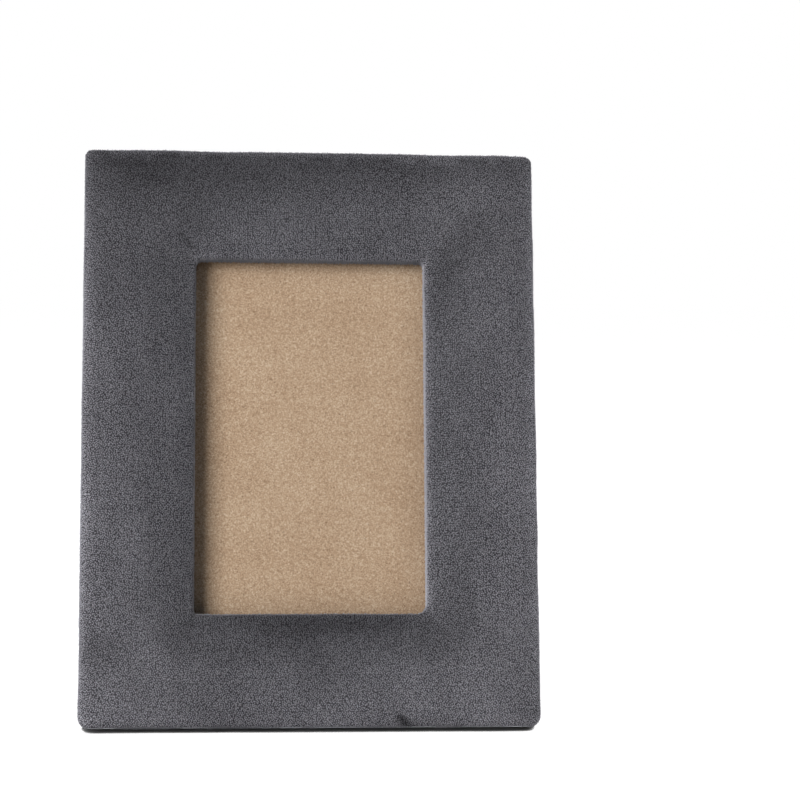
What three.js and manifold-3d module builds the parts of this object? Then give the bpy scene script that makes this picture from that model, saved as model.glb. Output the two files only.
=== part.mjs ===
// A padded velvet photo frame for a 10 x 15 cm print, standing on its easel strut.
// Millimetres, +Z up, front towards -Y. The origin is the middle of the edge that the frame stands on.
import * as THREE from "three";
import { mergeVertices } from "three/addons/utils/BufferGeometryUtils.js";
import Module from "manifold-3d";

const wasm = await Module();
wasm.setup();

// Driving dimensions: the print, the border round it and how the frame stands.
const PHOTO_WIDTH = 102;
const PHOTO_HEIGHT = 152;
const PHOTO_OVERLAP = 5;
const BORDER_WIDTH = 44;
const LEAN = THREE.MathUtils.degToRad(13);
const OPEN_ANGLE = THREE.MathUtils.degToRad(24);

// Clearances.
const BOND_GAP = 0.2;
const SEAT_GAP = 0.3;
const RUNNING_GAP = 0.3;
const MITRE_GAP = 0.2;
const REBATE_CLEARANCE = 1;

// Sheet and board thicknesses, front to back.
const FABRIC_THICKNESS = 1.2;
const FOAM_THICKNESS = 5.5;
const LIP_THICKNESS = 3.5;
const GLASS_THICKNESS = 2;
const INSERT_THICKNESS = 2;
const PANEL_THICKNESS = 2.5;
const LINING_THICKNESS = 0.4;
const STRUT_THICKNESS = 2.5;
const LEAF_THICKNESS = 0.8;

// Shape of the padded border, which rises to a soft crown and falls away towards the window.
const FRONT_EDGE_WIDTH = 5.5;
const FRONT_EDGE_DEPTH = 3.4;
const REAR_EDGE_RADIUS = 3;
const CROWN_OFFSET = 21;
const CROWN_RISE = 1.4;
const WINDOW_SLOPE = THREE.MathUtils.degToRad(18);
const WINDOW_BEND_RADIUS = 2.6;
const WINDOW_WALL_HEIGHT = 0.5;
const OUTER_CORNER_RADIUS = 4;
const WINDOW_CORNER_RADIUS = 1.8;
const CORNER_TAPER = 1.5;
const CREASE_DEPTH = 0.8;
const CREASE_LENGTH = 16;
const RESTING_PRESS = 0.5;
const TURN_IN_EDGE_GAP = 1.5;

// Rear lining, panel lining and wooden core.
const LINING_OUTER_INSET = 6;
const LINING_INNER_INSET = 1;
const PANEL_LINING_INSET = 1;
const RAIL_REAR_CHAMFER = 2;
const NAIL_LEG = 9;
const NAIL_THICKNESS = 0.6;
const NAIL_DEPTH = 7;
const NAIL_HALF_ANGLE = THREE.MathUtils.degToRad(60);

// Turn buttons and their screws.
const BUTTON_SPREAD = 92;
const BUTTON_SETBACK = 6;
const BUTTON_REACH = 13;
const BUTTON_HEAD_RADIUS = 4.2;
const BUTTON_TIP_RADIUS = 2.6;
const BUTTON_THICKNESS = 0.9;
const SCREW_RADIUS = 1.4;
const SCREW_HEAD_RADIUS = 2.8;
const SCREW_HEAD_HEIGHT = 1.6;
const SCREW_RIM_HEIGHT = 0.7;
const SCREW_LENGTH = 8;
const SCREW_HOLE_CLEARANCE = 0.3;
const RECESS_WIDTH = 0.8;
const RECESS_LENGTH = 3;
const RECESS_DEPTH = 0.9;

// Easel hinge, its pin and its rivets.
const HINGE_DROP = 25;
const LEAF_WIDTH = 24;
const PIN_RADIUS = 1;
const PIN_HEAD_RADIUS = 1.7;
const PIN_HEAD_HEIGHT = 0.7;
const EAR_WALL = 1;
const STRUT_LEAF_LENGTH = 17;
const RIVET_SPACING = 13;
const RIVET_SHANK_RADIUS = 1.5;
const RIVET_HEAD_RADIUS = 2.8;
const RIVET_HEAD_HEIGHT = 0.9;
const RIVET_RIM_HEIGHT = 0.25;
const RIVET_CLINCH_RADIUS = 2.1;
const RIVET_CLINCH_HEIGHT = 0.5;
const RIVET_EDGE_MARGIN = 1.6;

// Easel strut.
const STRUT_STANDOFF = 1.2;
const STRUT_TOP_CLEARANCE = 1.2;
const STRUT_TOP_WIDTH = 34;
const STRUT_FOOT_WIDTH = 60;
const STRUT_TOP_RADIUS = 7;
const STRUT_FOOT_RADIUS = 4;
const STRUT_LINING_INSET = 0.6;

// Facets.
const CORNER_STEPS = 4;
const ARC_STEPS = 4;
const LEDGE_STEPS = 2;
const SLOPE_STEPS = 4;
const ROUND_STEPS = 16;
const CROWN_STEPS = 3;
const HEAD_STEPS = 3;

// Sizes that follow from the print and the border.
const SIGHT_WIDTH = PHOTO_WIDTH - 2 * PHOTO_OVERLAP;
const SIGHT_HEIGHT = PHOTO_HEIGHT - 2 * PHOTO_OVERLAP;
const FRAME_HEIGHT = SIGHT_HEIGHT + 2 * BORDER_WIDTH;
const REBATE_OFFSET = PHOTO_OVERLAP + REBATE_CLEARANCE;
const WRAP = FABRIC_THICKNESS + BOND_GAP;

// Depth levels, with 0 at the front face of the wooden core and + towards the back.
const CROWN_Y = -(BOND_GAP + FOAM_THICKNESS + BOND_GAP + FABRIC_THICKNESS);
const LEDGE_FABRIC_Y = LIP_THICKNESS + WRAP;
const GLASS_Y = LEDGE_FABRIC_Y + SEAT_GAP;
const INSERT_Y = GLASS_Y + GLASS_THICKNESS + SEAT_GAP;
const PANEL_Y = INSERT_Y + INSERT_THICKNESS + SEAT_GAP;
const PANEL_LINING_Y = PANEL_Y + PANEL_THICKNESS + BOND_GAP;
const BACK_Y = PANEL_LINING_Y + LINING_THICKNESS;
const COVER_BACK_Y = BACK_Y - LINING_THICKNESS - BOND_GAP;
const RAIL_BACK_Y = COVER_BACK_Y - WRAP;

// Hinge levels, with 0 on the pin's axis and + towards the back, the strut folded flat.
const PIN_HOLE_RADIUS = PIN_RADIUS + RUNNING_GAP;
const EAR_RADIUS = PIN_HOLE_RADIUS + EAR_WALL;
const STRUT_LEAF_Y = PIN_RADIUS + RUNNING_GAP;
const STRUT_LINING_Y = STRUT_LEAF_Y - BOND_GAP - LINING_THICKNESS;
const STRUT_BACK_Y = STRUT_LINING_Y - BOND_GAP;
const STRUT_FRONT_Y = STRUT_BACK_Y - STRUT_THICKNESS;
const BASE_LEAF_TOP = BOND_GAP + LEAF_THICKNESS;
const PIN_HEIGHT = Math.max(BASE_LEAF_TOP + RUNNING_GAP + EAR_RADIUS, STRUT_STANDOFF - STRUT_FRONT_Y);
const STRUT_TOP_Z = -(EAR_RADIUS + STRUT_TOP_CLEARANCE);
const STOP_DROP = PIN_HEIGHT + STRUT_LEAF_Y * Math.cos(OPEN_ANGLE) - BASE_LEAF_TOP - RUNNING_GAP;
const STOP_LENGTH = STOP_DROP / Math.sin(OPEN_ANGLE);
const BASE_RIVET_Z = STOP_LENGTH + RIVET_HEAD_RADIUS + RIVET_EDGE_MARGIN;
const BASE_LEAF_HEIGHT = BASE_RIVET_Z + RIVET_HEAD_RADIUS + RIVET_EDGE_MARGIN;
const STRUT_RIVET_Z = STRUT_TOP_Z - STRUT_LEAF_LENGTH / 2;
const EAR_X = LEAF_WIDTH / 2;
const INNER_EAR_X = EAR_X - LEAF_THICKNESS - RUNNING_GAP;
const PIN_Y = BACK_Y + PIN_HEIGHT;
const PIN_Z = PHOTO_HEIGHT / 2 - HINGE_DROP;

// Where the floor lies below the middle of the rounded rear edge that carries the frame.
const EDGE_MIDDLE_Y = COVER_BACK_Y - REAR_EDGE_RADIUS;
const EDGE_MIDDLE_Z = REAR_EDGE_RADIUS - FRAME_HEIGHT / 2;
const EDGE_MIDDLE_HEIGHT = REAR_EDGE_RADIUS - RESTING_PRESS;
const FLOOR_BLOCK = 4 * FRAME_HEIGHT;

const velvet = new THREE.MeshStandardMaterial({ color: "#56555a", roughness: 0.95 });
const foam = new THREE.MeshStandardMaterial({ color: "#e6dfcf", roughness: 0.95 });
const fibreboard = new THREE.MeshStandardMaterial({ color: "#b59b82", roughness: 0.85 });
const blackPaper = new THREE.MeshStandardMaterial({ color: "#1d1d1f", roughness: 0.9 });
const nickel = new THREE.MeshStandardMaterial({ color: "#c4c2bc", roughness: 0.3, metalness: 1 });
const steel = new THREE.MeshStandardMaterial({ color: "#8f8f8f", roughness: 0.45, metalness: 1 });
const glass = new THREE.MeshStandardMaterial({
  color: "#f4f8f6",
  roughness: 0.05,
  transparent: true,
  opacity: 0.2,
});

// A closed geometry as a solid that can be joined and cut.
function solidOf(geometry) {
  const bare = geometry.clone();
  bare.deleteAttribute("normal");
  bare.deleteAttribute("uv");
  const merged = mergeVertices(bare, 1e-4);
  const mesh = new wasm.Mesh({
    numProp: 3,
    vertProperties: new Float32Array(merged.attributes.position.array),
    triVerts: new Uint32Array(merged.index.array),
  });
  return new wasm.Manifold(mesh);
}

// A solid as a geometry with flat faces.
function geometryOf(solid) {
  const { numProp, vertProperties, triVerts } = solid.getMesh();
  const points = Array.from(triVerts, (i) => {
    const start = i * numProp;
    return Array.from(vertProperties.subarray(start, start + 3));
  });
  const geometry = new THREE.BufferGeometry();
  geometry.setAttribute("position", new THREE.Float32BufferAttribute(points.flat(), 3));
  geometry.computeVertexNormals();
  return geometry;
}

function cut(geometry, tools) {
  return geometryOf(tools.reduce((rest, tool) => rest.subtract(solidOf(tool)), solidOf(geometry)));
}

function trim(geometry, outline) {
  return geometryOf(solidOf(geometry).intersect(solidOf(outline)));
}

function join(geometries) {
  return geometryOf(geometries.map(solidOf).reduce((whole, piece) => whole.add(piece)));
}

// A row of profile points moved sideways, to the left of the way that they run.
function offsetLine(points, distance) {
  const directions = points.slice(1).map((point, i) => point.clone().sub(points[i]).normalize());
  return points.map((point, i) => {
    const before = directions[Math.max(i - 1, 0)];
    const after = directions[Math.min(i, directions.length - 1)];
    const middle = before.clone().add(after).normalize();
    const spread = Math.max(middle.dot(after), 0.3);
    return new THREE.Vector2(-middle.y, middle.x).multiplyScalar(distance / spread).add(point);
  });
}

// The points of one corner of a rounded rectangle, each with its share of the way round the corner.
function cornerPoints(halfX, halfZ, radius, quarter) {
  const signX = quarter === 0 || quarter === 3 ? 1 : -1;
  const signZ = quarter < 2 ? 1 : -1;
  return Array.from({ length: CORNER_STEPS + 1 }, (_, i) => {
    const share = i / CORNER_STEPS;
    const angle = (quarter + share) * (Math.PI / 2);
    const x = signX * (halfX - radius) + radius * Math.cos(angle);
    const z = signZ * (halfZ - radius) + radius * Math.sin(angle);
    return { x, z, share };
  });
}

// The share of the padding's height that is drawn in by the crease running out from a window corner.
function creaseAt(offset, share) {
  const aside = 1 - Math.abs(2 * share - 1);
  const out = THREE.MathUtils.clamp(1 - offset / CREASE_LENGTH, 0, 1);
  return (CREASE_DEPTH / -CROWN_Y) * aside ** 2 * out ** 2;
}

// A closed ring round the window. Each profile point is an offset from the sight edge and a depth.
// The padding in front of the core is drawn in along the corner creases.
function ringGeometry(profile) {
  const loops = profile.map(({ x: offset, y: depth }) => {
    const padded = depth < 0;
    const radius = padded ? paddedCornerRadius(offset) : flatCornerRadius(offset);
    const quarters = [0, 1, 2, 3].flatMap((quarter) =>
      cornerPoints(SIGHT_WIDTH / 2 + offset, SIGHT_HEIGHT / 2 + offset, radius, quarter),
    );
    return quarters.map(({ x, z, share }) => [x, padded ? depth * (1 - creaseAt(offset, share)) : depth, z]);
  });
  const around = loops[0].length;
  const index = [];
  loops.forEach((_, i) => {
    for (let j = 0; j < around; j += 1) {
      const here = i * around;
      const next = ((i + 1) % loops.length) * around;
      const k = (j + 1) % around;
      index.push(here + j, next + k, next + j, here + j, here + k, next + k);
    }
  });
  const geometry = new THREE.BufferGeometry();
  geometry.setAttribute("position", new THREE.Float32BufferAttribute(loops.flat(2), 3));
  geometry.setIndex(index);
  return geometry.toNonIndexed();
}

// On the back and in the window the corners widen evenly from the window's to the outer one.
function flatCornerRadius(offset) {
  return THREE.MathUtils.lerp(WINDOW_CORNER_RADIUS, OUTER_CORNER_RADIUS, offset / BORDER_WIDTH);
}

// On the padding they run round the window's corner as far as the crown, then tighten to the outer one.
function paddedCornerRadius(offset) {
  if (offset <= CROWN_OFFSET) {
    return WINDOW_CORNER_RADIUS + offset;
  }
  const left = (BORDER_WIDTH - offset) / (BORDER_WIDTH - CROWN_OFFSET);
  return THREE.MathUtils.lerp(OUTER_CORNER_RADIUS, WINDOW_CORNER_RADIUS + CROWN_OFFSET, left ** CORNER_TAPER);
}

// The points of a round bend, clockwise from one angle to another.
function bend(x, y, radiusX, radiusY, from, to, steps) {
  return new THREE.EllipseCurve(x, y, radiusX, radiusY, from, to, true).getPoints(steps);
}

// The pile side of the velvet from the outer edge, over the crown of the padding, to the window's wall.
function paddedFront() {
  const edgeX = BORDER_WIDTH - FRONT_EDGE_WIDTH;
  const edgeY = CROWN_Y + CROWN_RISE;
  const middleY = edgeY + FRONT_EDGE_DEPTH;
  const edge = bend(edgeX, middleY, FRONT_EDGE_WIDTH, FRONT_EDGE_DEPTH, 0, -Math.PI / 2, ARC_STEPS);
  const round = WINDOW_BEND_RADIUS;
  const start = -Math.PI / 2 - WINDOW_SLOPE;
  const lip = bend(round, -WINDOW_WALL_HEIGHT, round, round, start, -Math.PI, ARC_STEPS);
  const crown = new THREE.Vector2(CROWN_OFFSET, CROWN_Y);
  const brow = new THREE.Vector2((edgeX + CROWN_OFFSET) / 2, CROWN_Y);
  const shoulder = new THREE.Vector2(lip[0].x + (lip[0].y - CROWN_Y) / Math.tan(WINDOW_SLOPE), CROWN_Y);
  const rise = new THREE.QuadraticBezierCurve(edge.at(-1), brow, crown);
  const slope = new THREE.QuadraticBezierCurve(crown, shoulder, lip[0]);
  return [
    new THREE.Vector2(BORDER_WIDTH, -BOND_GAP),
    ...edge,
    ...rise.getPoints(CROWN_STEPS).slice(1, -1),
    ...slope.getPoints(SLOPE_STEPS).slice(0, -1),
    ...lip,
    new THREE.Vector2(0, -BOND_GAP),
  ];
}

// The velvet turned over the rear edge and in over the back of the core.
function rearTurnIn() {
  const edgeX = BORDER_WIDTH - REAR_EDGE_RADIUS;
  return [
    new THREE.Vector2(REBATE_OFFSET + TURN_IN_EDGE_GAP, COVER_BACK_Y),
    ...bend(edgeX, EDGE_MIDDLE_Y, REAR_EDGE_RADIUS, REAR_EDGE_RADIUS, Math.PI / 2, 0, ARC_STEPS),
  ];
}

// The velvet turned through the window and over the back of the lip, under the glass.
function ledgeTurnIn() {
  return [
    ...bend(WRAP, LEDGE_FABRIC_Y - WRAP, WRAP, WRAP, Math.PI, Math.PI / 2, LEDGE_STEPS),
    new THREE.Vector2(REBATE_OFFSET - BOND_GAP, LEDGE_FABRIC_Y),
  ];
}

// Adds a named piece to a group.
function piece(group, name, geometry, material) {
  const mesh = new THREE.Mesh(geometry, material);
  mesh.name = name;
  group.add(mesh);
  return mesh;
}

// A flat plate in the X-Z plane, from depth 0 to its thickness.
function plate(shape, thickness) {
  const geometry = new THREE.ExtrudeGeometry(shape, {
    depth: thickness,
    bevelEnabled: false,
    curveSegments: ROUND_STEPS / 2,
  });
  return geometry.rotateX(Math.PI / 2).translate(0, thickness, 0);
}

function rectangle(width, height) {
  const shape = new THREE.Shape();
  shape.moveTo(-width / 2, -height / 2);
  shape.lineTo(width / 2, -height / 2);
  shape.lineTo(width / 2, height / 2);
  shape.lineTo(-width / 2, height / 2);
  return shape;
}

function roundedRectangle(width, height, radius) {
  const shape = new THREE.Shape();
  const x = width / 2 - radius;
  const z = height / 2 - radius;
  shape.absarc(x, z, radius, 0, Math.PI / 2, false);
  shape.absarc(-x, z, radius, Math.PI / 2, Math.PI, false);
  shape.absarc(-x, -z, radius, Math.PI, 1.5 * Math.PI, false);
  shape.absarc(x, -z, radius, 1.5 * Math.PI, 2 * Math.PI, false);
  return shape;
}

function roundHole(x, z, radius) {
  return new THREE.Path().absarc(x, z, radius, 0, 2 * Math.PI, true);
}

// A round bar along Y between two depths, used for holes and counterbores.
function bar(radius, from, to) {
  return new THREE.CylinderGeometry(radius, radius, to - from, ROUND_STEPS).translate(0, (from + to) / 2, 0);
}

// The floor as a block, in the leaning frame's own axes, raised by a clearance.
function floorBlock(raise = 0) {
  const block = new THREE.BoxGeometry(FLOOR_BLOCK, FLOOR_BLOCK, FLOOR_BLOCK);
  block.translate(0, 0, raise - EDGE_MIDDLE_HEIGHT - FLOOR_BLOCK / 2);
  return block.rotateX(LEAN).translate(0, EDGE_MIDDLE_Y, EDGE_MIDDLE_Z);
}

// The leaning group: its own axes are the frame's, with 0 in the middle of the window.
const leaning = new THREE.Group();
leaning.rotation.x = -LEAN;
leaning.position.set(0, -EDGE_MIDDLE_Y, -EDGE_MIDDLE_Z).applyEuler(leaning.rotation);
leaning.position.z += EDGE_MIDDLE_HEIGHT;

const frame = new THREE.Group();
frame.add(leaning);

const SCREW_HOLE_RADIUS = SCREW_RADIUS + SCREW_HOLE_CLEARANCE;
const BUTTON_X = SIGHT_WIDTH / 2 + REBATE_OFFSET + BUTTON_SETBACK;
const buttonPlaces = [
  { name: "left_upper", x: -BUTTON_X, z: BUTTON_SPREAD / 2, turn: 0 },
  { name: "left_lower", x: -BUTTON_X, z: -BUTTON_SPREAD / 2, turn: 0 },
  { name: "right_upper", x: BUTTON_X, z: BUTTON_SPREAD / 2, turn: Math.PI },
  { name: "right_lower", x: BUTTON_X, z: -BUTTON_SPREAD / 2, turn: Math.PI },
];

// The holes that the four button screws pass through.
function screwHoles() {
  const bottom = BACK_Y - SCREW_LENGTH - SEAT_GAP;
  return buttonPlaces.map(({ x, z }) => bar(SCREW_HOLE_RADIUS, bottom, BACK_Y + 1).translate(x, 0, z));
}

// Velvet: one cloth wrapped round the padding and turned in at the back and through the window.
function addVelvetCover() {
  const pile = [...rearTurnIn(), ...paddedFront(), ...ledgeTurnIn()];
  const backing = offsetLine(pile, -FABRIC_THICKNESS);
  const wrapped = ringGeometry([...pile, ...backing.reverse()]);
  const cover = cut(wrapped, [floorBlock(), ...screwHoles()]);
  piece(leaning, "velvet_cover", cover, velvet);
}

// Foam: the padding between the cloth and the front of the core.
function addFoamPad() {
  const front = offsetLine(paddedFront(), -WRAP);
  piece(leaning, "foam_pad", ringGeometry(front), foam);
}

// The V-shaped outline of a corner nail, its point on the mitre, grown by a clearance.
function nailOutline(signX, signZ, clearance) {
  const middle = BORDER_WIDTH / 2;
  const point = new THREE.Vector2(SIGHT_WIDTH / 2 + middle, SIGHT_HEIGHT / 2 + middle);
  const leg = NAIL_LEG + clearance;
  const ends = [-1, 1].map((side) => {
    const angle = Math.PI / 4 + side * NAIL_HALF_ANGLE;
    return new THREE.Vector2(Math.cos(angle), Math.sin(angle)).multiplyScalar(leg).add(point);
  });
  const line = [ends[0], point, ends[1]];
  const half = NAIL_THICKNESS / 2 + clearance;
  const outline = [...offsetLine(line, half), ...offsetLine(line, -half).reverse()];
  const placed = outline.map(({ x, y }) => new THREE.Vector2(signX * x, signZ * y));
  return new THREE.Shape(signX * signZ > 0 ? placed : placed.reverse());
}

const corners = [
  { name: "top_right", signX: 1, signZ: 1 },
  { name: "top_left", signX: -1, signZ: 1 },
  { name: "bottom_left", signX: -1, signZ: -1 },
  { name: "bottom_right", signX: 1, signZ: -1 },
];

// Core: four rebated rails, mitred at the corners and held by V nails driven in from the back.
function addRails() {
  const inner = WRAP;
  const outer = BORDER_WIDTH - WRAP;
  const section = new THREE.Shape();
  section.moveTo(inner, 0);
  section.lineTo(outer, 0);
  section.lineTo(outer, RAIL_BACK_Y - RAIL_REAR_CHAMFER);
  section.lineTo(outer - RAIL_REAR_CHAMFER, RAIL_BACK_Y);
  section.lineTo(REBATE_OFFSET, RAIL_BACK_Y);
  section.lineTo(REBATE_OFFSET, LIP_THICKNESS);
  section.lineTo(inner, LIP_THICKNESS);
  const width = SIGHT_WIDTH + 2 * outer;
  const height = SIGHT_HEIGHT + 2 * outer;
  const outline = roundedRectangle(width, height, OUTER_CORNER_RADIUS);
  const eased = plate(outline, RAIL_BACK_Y + 2).translate(0, -1, 0);
  const nailSlots = corners.map(({ signX, signZ }) =>
    plate(nailOutline(signX, signZ, SEAT_GAP / 2), NAIL_DEPTH + SEAT_GAP + 1)
      .translate(0, RAIL_BACK_Y - NAIL_DEPTH - SEAT_GAP, 0),
  );
  const sides = [
    { name: "top_rail", turn: 0, along: SIGHT_WIDTH / 2, across: SIGHT_HEIGHT / 2 },
    { name: "right_rail", turn: Math.PI / 2, along: SIGHT_HEIGHT / 2, across: SIGHT_WIDTH / 2 },
    { name: "bottom_rail", turn: Math.PI, along: SIGHT_WIDTH / 2, across: SIGHT_HEIGHT / 2 },
    { name: "left_rail", turn: -Math.PI / 2, along: SIGHT_HEIGHT / 2, across: SIGHT_WIDTH / 2 },
  ];
  sides.forEach(({ name, turn, along, across }) => {
    const rail = new THREE.ExtrudeGeometry(section, { depth: 1, bevelEnabled: false });
    const { position } = rail.attributes;
    for (let i = 0; i < position.count; i += 1) {
      const offset = position.getX(i);
      const end = position.getZ(i) > 0.5 ? -1 : 1;
      position.setXYZ(i, end * (along + offset - MITRE_GAP), position.getY(i), across + offset);
    }
    rail.rotateY(turn);
    const bored = cut(rail, [...nailSlots, ...screwHoles()]);
    piece(leaning, name, trim(bored, eased), fibreboard);
  });
}

function addCornerNails() {
  corners.forEach(({ name, signX, signZ }) => {
    const nail = plate(nailOutline(signX, signZ, 0), NAIL_DEPTH).translate(0, RAIL_BACK_Y - NAIL_DEPTH, 0);
    piece(leaning, `corner_nail_${name}`, nail, steel);
  });
}

// Rear lining: a paper ring that hides the turned-in velvet and its raw edge.
function addRearLining() {
  const inner = REBATE_OFFSET + LINING_INNER_INSET;
  const outer = BORDER_WIDTH - LINING_OUTER_INSET;
  const front = BACK_Y - LINING_THICKNESS;
  const profile = [[inner, BACK_Y], [outer, BACK_Y], [outer, front], [inner, front]];
  const ring = ringGeometry(profile.map(([offset, depth]) => new THREE.Vector2(offset, depth)));
  piece(leaning, "rear_lining", cut(ring, screwHoles()), blackPaper);
}

const rivetSides = [
  { name: "left", x: -RIVET_SPACING / 2 },
  { name: "right", x: RIVET_SPACING / 2 },
];
const COUNTERBORE_DEPTH = RIVET_CLINCH_HEIGHT + SEAT_GAP;

// The stepped hole that takes a rivet: its shank right through, its clinched end let in at the front.
function rivetHole(front, back) {
  const shank = bar(RIVET_SHANK_RADIUS + SEAT_GAP / 2, front - 1, back + 1);
  const clinch = bar(RIVET_CLINCH_RADIUS + SEAT_GAP, front - 1, front + COUNTERBORE_DEPTH);
  return join([shank, clinch]);
}

// The outline of a head from its underside: an upright rim and a dome that closes on the axis.
function domedHead(radius, seat, rim, height) {
  const dome = Array.from({ length: HEAD_STEPS }, (_, i) => {
    const angle = (i / HEAD_STEPS) * (Math.PI / 2);
    return [radius * Math.cos(angle), seat + rim + (height - rim) * Math.sin(angle)];
  });
  return [[radius, seat], ...dome, [0, seat + height]];
}

// A rivet along Y: domed head at the back, shank, and an end clinched over at the front.
function rivet(clinchBack, headFront) {
  const points = [
    [0, clinchBack - RIVET_CLINCH_HEIGHT],
    [RIVET_CLINCH_RADIUS, clinchBack - RIVET_CLINCH_HEIGHT],
    [RIVET_CLINCH_RADIUS, clinchBack],
    [RIVET_SHANK_RADIUS, clinchBack],
    [RIVET_SHANK_RADIUS, headFront],
    ...domedHead(RIVET_HEAD_RADIUS, headFront, RIVET_RIM_HEIGHT, RIVET_HEAD_HEIGHT),
  ];
  return lathe(points);
}

// A round piece about Y, from the radius and depth of each point of its outline.
function lathe(points) {
  const outline = points.map(([radius, depth]) => new THREE.Vector2(radius, depth));
  return new THREE.LatheGeometry(outline, ROUND_STEPS);
}

// Glazing and boards that lie in the rebate, front to back.
function addGlazingAndBoards() {
  const pane = plate(rectangle(PHOTO_WIDTH, PHOTO_HEIGHT), GLASS_THICKNESS).translate(0, GLASS_Y, 0);
  piece(leaning, "glass_pane", pane, glass);
  const insert = plate(rectangle(PHOTO_WIDTH, PHOTO_HEIGHT), INSERT_THICKNESS).translate(0, INSERT_Y, 0);
  piece(leaning, "insert_board", insert, fibreboard);
  const rivetZ = PIN_Z + BASE_RIVET_Z;
  const panel = plate(rectangle(PHOTO_WIDTH, PHOTO_HEIGHT), PANEL_THICKNESS).translate(0, PANEL_Y, 0);
  const holes = rivetSides.map(({ x }) =>
    rivetHole(PANEL_Y, PANEL_Y + PANEL_THICKNESS).translate(x, 0, rivetZ),
  );
  piece(leaning, "back_panel", cut(panel, holes), fibreboard);
  const paper = rectangle(PHOTO_WIDTH - 2 * PANEL_LINING_INSET, PHOTO_HEIGHT - 2 * PANEL_LINING_INSET);
  rivetSides.forEach(({ x }) => paper.holes.push(roundHole(x, rivetZ, RIVET_SHANK_RADIUS + SEAT_GAP / 2)));
  const lining = plate(paper, LINING_THICKNESS).translate(0, PANEL_LINING_Y, 0);
  piece(leaning, "back_panel_lining", lining, blackPaper);
}

// A turn button: a flat tongue that swings about its screw, over the edge of the back panel.
function buttonGeometry() {
  const shape = new THREE.Shape();
  const tipX = BUTTON_REACH - BUTTON_TIP_RADIUS;
  const flare = Math.asin((BUTTON_HEAD_RADIUS - BUTTON_TIP_RADIUS) / tipX);
  shape.absarc(0, 0, BUTTON_HEAD_RADIUS, Math.PI / 2 - flare, -Math.PI / 2 + flare, false);
  shape.absarc(tipX, 0, BUTTON_TIP_RADIUS, -Math.PI / 2 + flare, Math.PI / 2 - flare, false);
  shape.holes.push(roundHole(0, 0, SCREW_HOLE_RADIUS));
  return plate(shape, BUTTON_THICKNESS);
}

// A pan-head screw along Y with a cross recess, its head against the button.
function screwGeometry() {
  const seat = SEAT_GAP + BUTTON_THICKNESS + SEAT_GAP;
  const body = lathe([
    [0, -SCREW_LENGTH],
    [SCREW_RADIUS, SCREW_RADIUS - SCREW_LENGTH],
    [SCREW_RADIUS, seat],
    ...domedHead(SCREW_HEAD_RADIUS, seat, SCREW_RIM_HEIGHT, SCREW_HEAD_HEIGHT),
  ]);
  const bottom = seat + SCREW_HEAD_HEIGHT - RECESS_DEPTH;
  const slots = [[RECESS_LENGTH, RECESS_WIDTH], [RECESS_WIDTH, RECESS_LENGTH]].map(([x, z]) =>
    new THREE.BoxGeometry(x, 2 * RECESS_DEPTH, z).translate(0, bottom + RECESS_DEPTH, 0),
  );
  return cut(body, slots);
}

function addTurnButtons() {
  buttonPlaces.forEach(({ name, x, z, turn }) => {
    const button = piece(leaning, `turn_button_${name}`, buttonGeometry(), nickel);
    button.position.set(x, BACK_Y + SEAT_GAP, z);
    button.rotation.y = turn;
    const screw = piece(leaning, `turn_screw_${name}`, screwGeometry(), nickel);
    screw.position.set(x, BACK_Y, z);
  });
}

// An upright ear in the Y-Z plane, round about the pin, running to a plate at the given depth.
function ear(x, plateY) {
  const towards = Math.sign(plateY);
  const shape = new THREE.Shape();
  const start = towards * (Math.PI / 2);
  shape.absarc(0, 0, EAR_RADIUS, start, start + Math.PI, false);
  shape.lineTo(plateY, -towards * EAR_RADIUS);
  shape.lineTo(plateY, towards * EAR_RADIUS);
  shape.holes.push(roundHole(0, 0, PIN_HOLE_RADIUS));
  const geometry = new THREE.ExtrudeGeometry(shape, {
    depth: LEAF_THICKNESS,
    bevelEnabled: false,
    curveSegments: ROUND_STEPS / 2,
  });
  const axes = new THREE.Matrix4().makeBasis(
    new THREE.Vector3(0, 1, 0), new THREE.Vector3(0, 0, 1), new THREE.Vector3(1, 0, 0),
  );
  return geometry.applyMatrix4(axes).translate(x - LEAF_THICKNESS / 2, 0, 0);
}

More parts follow.
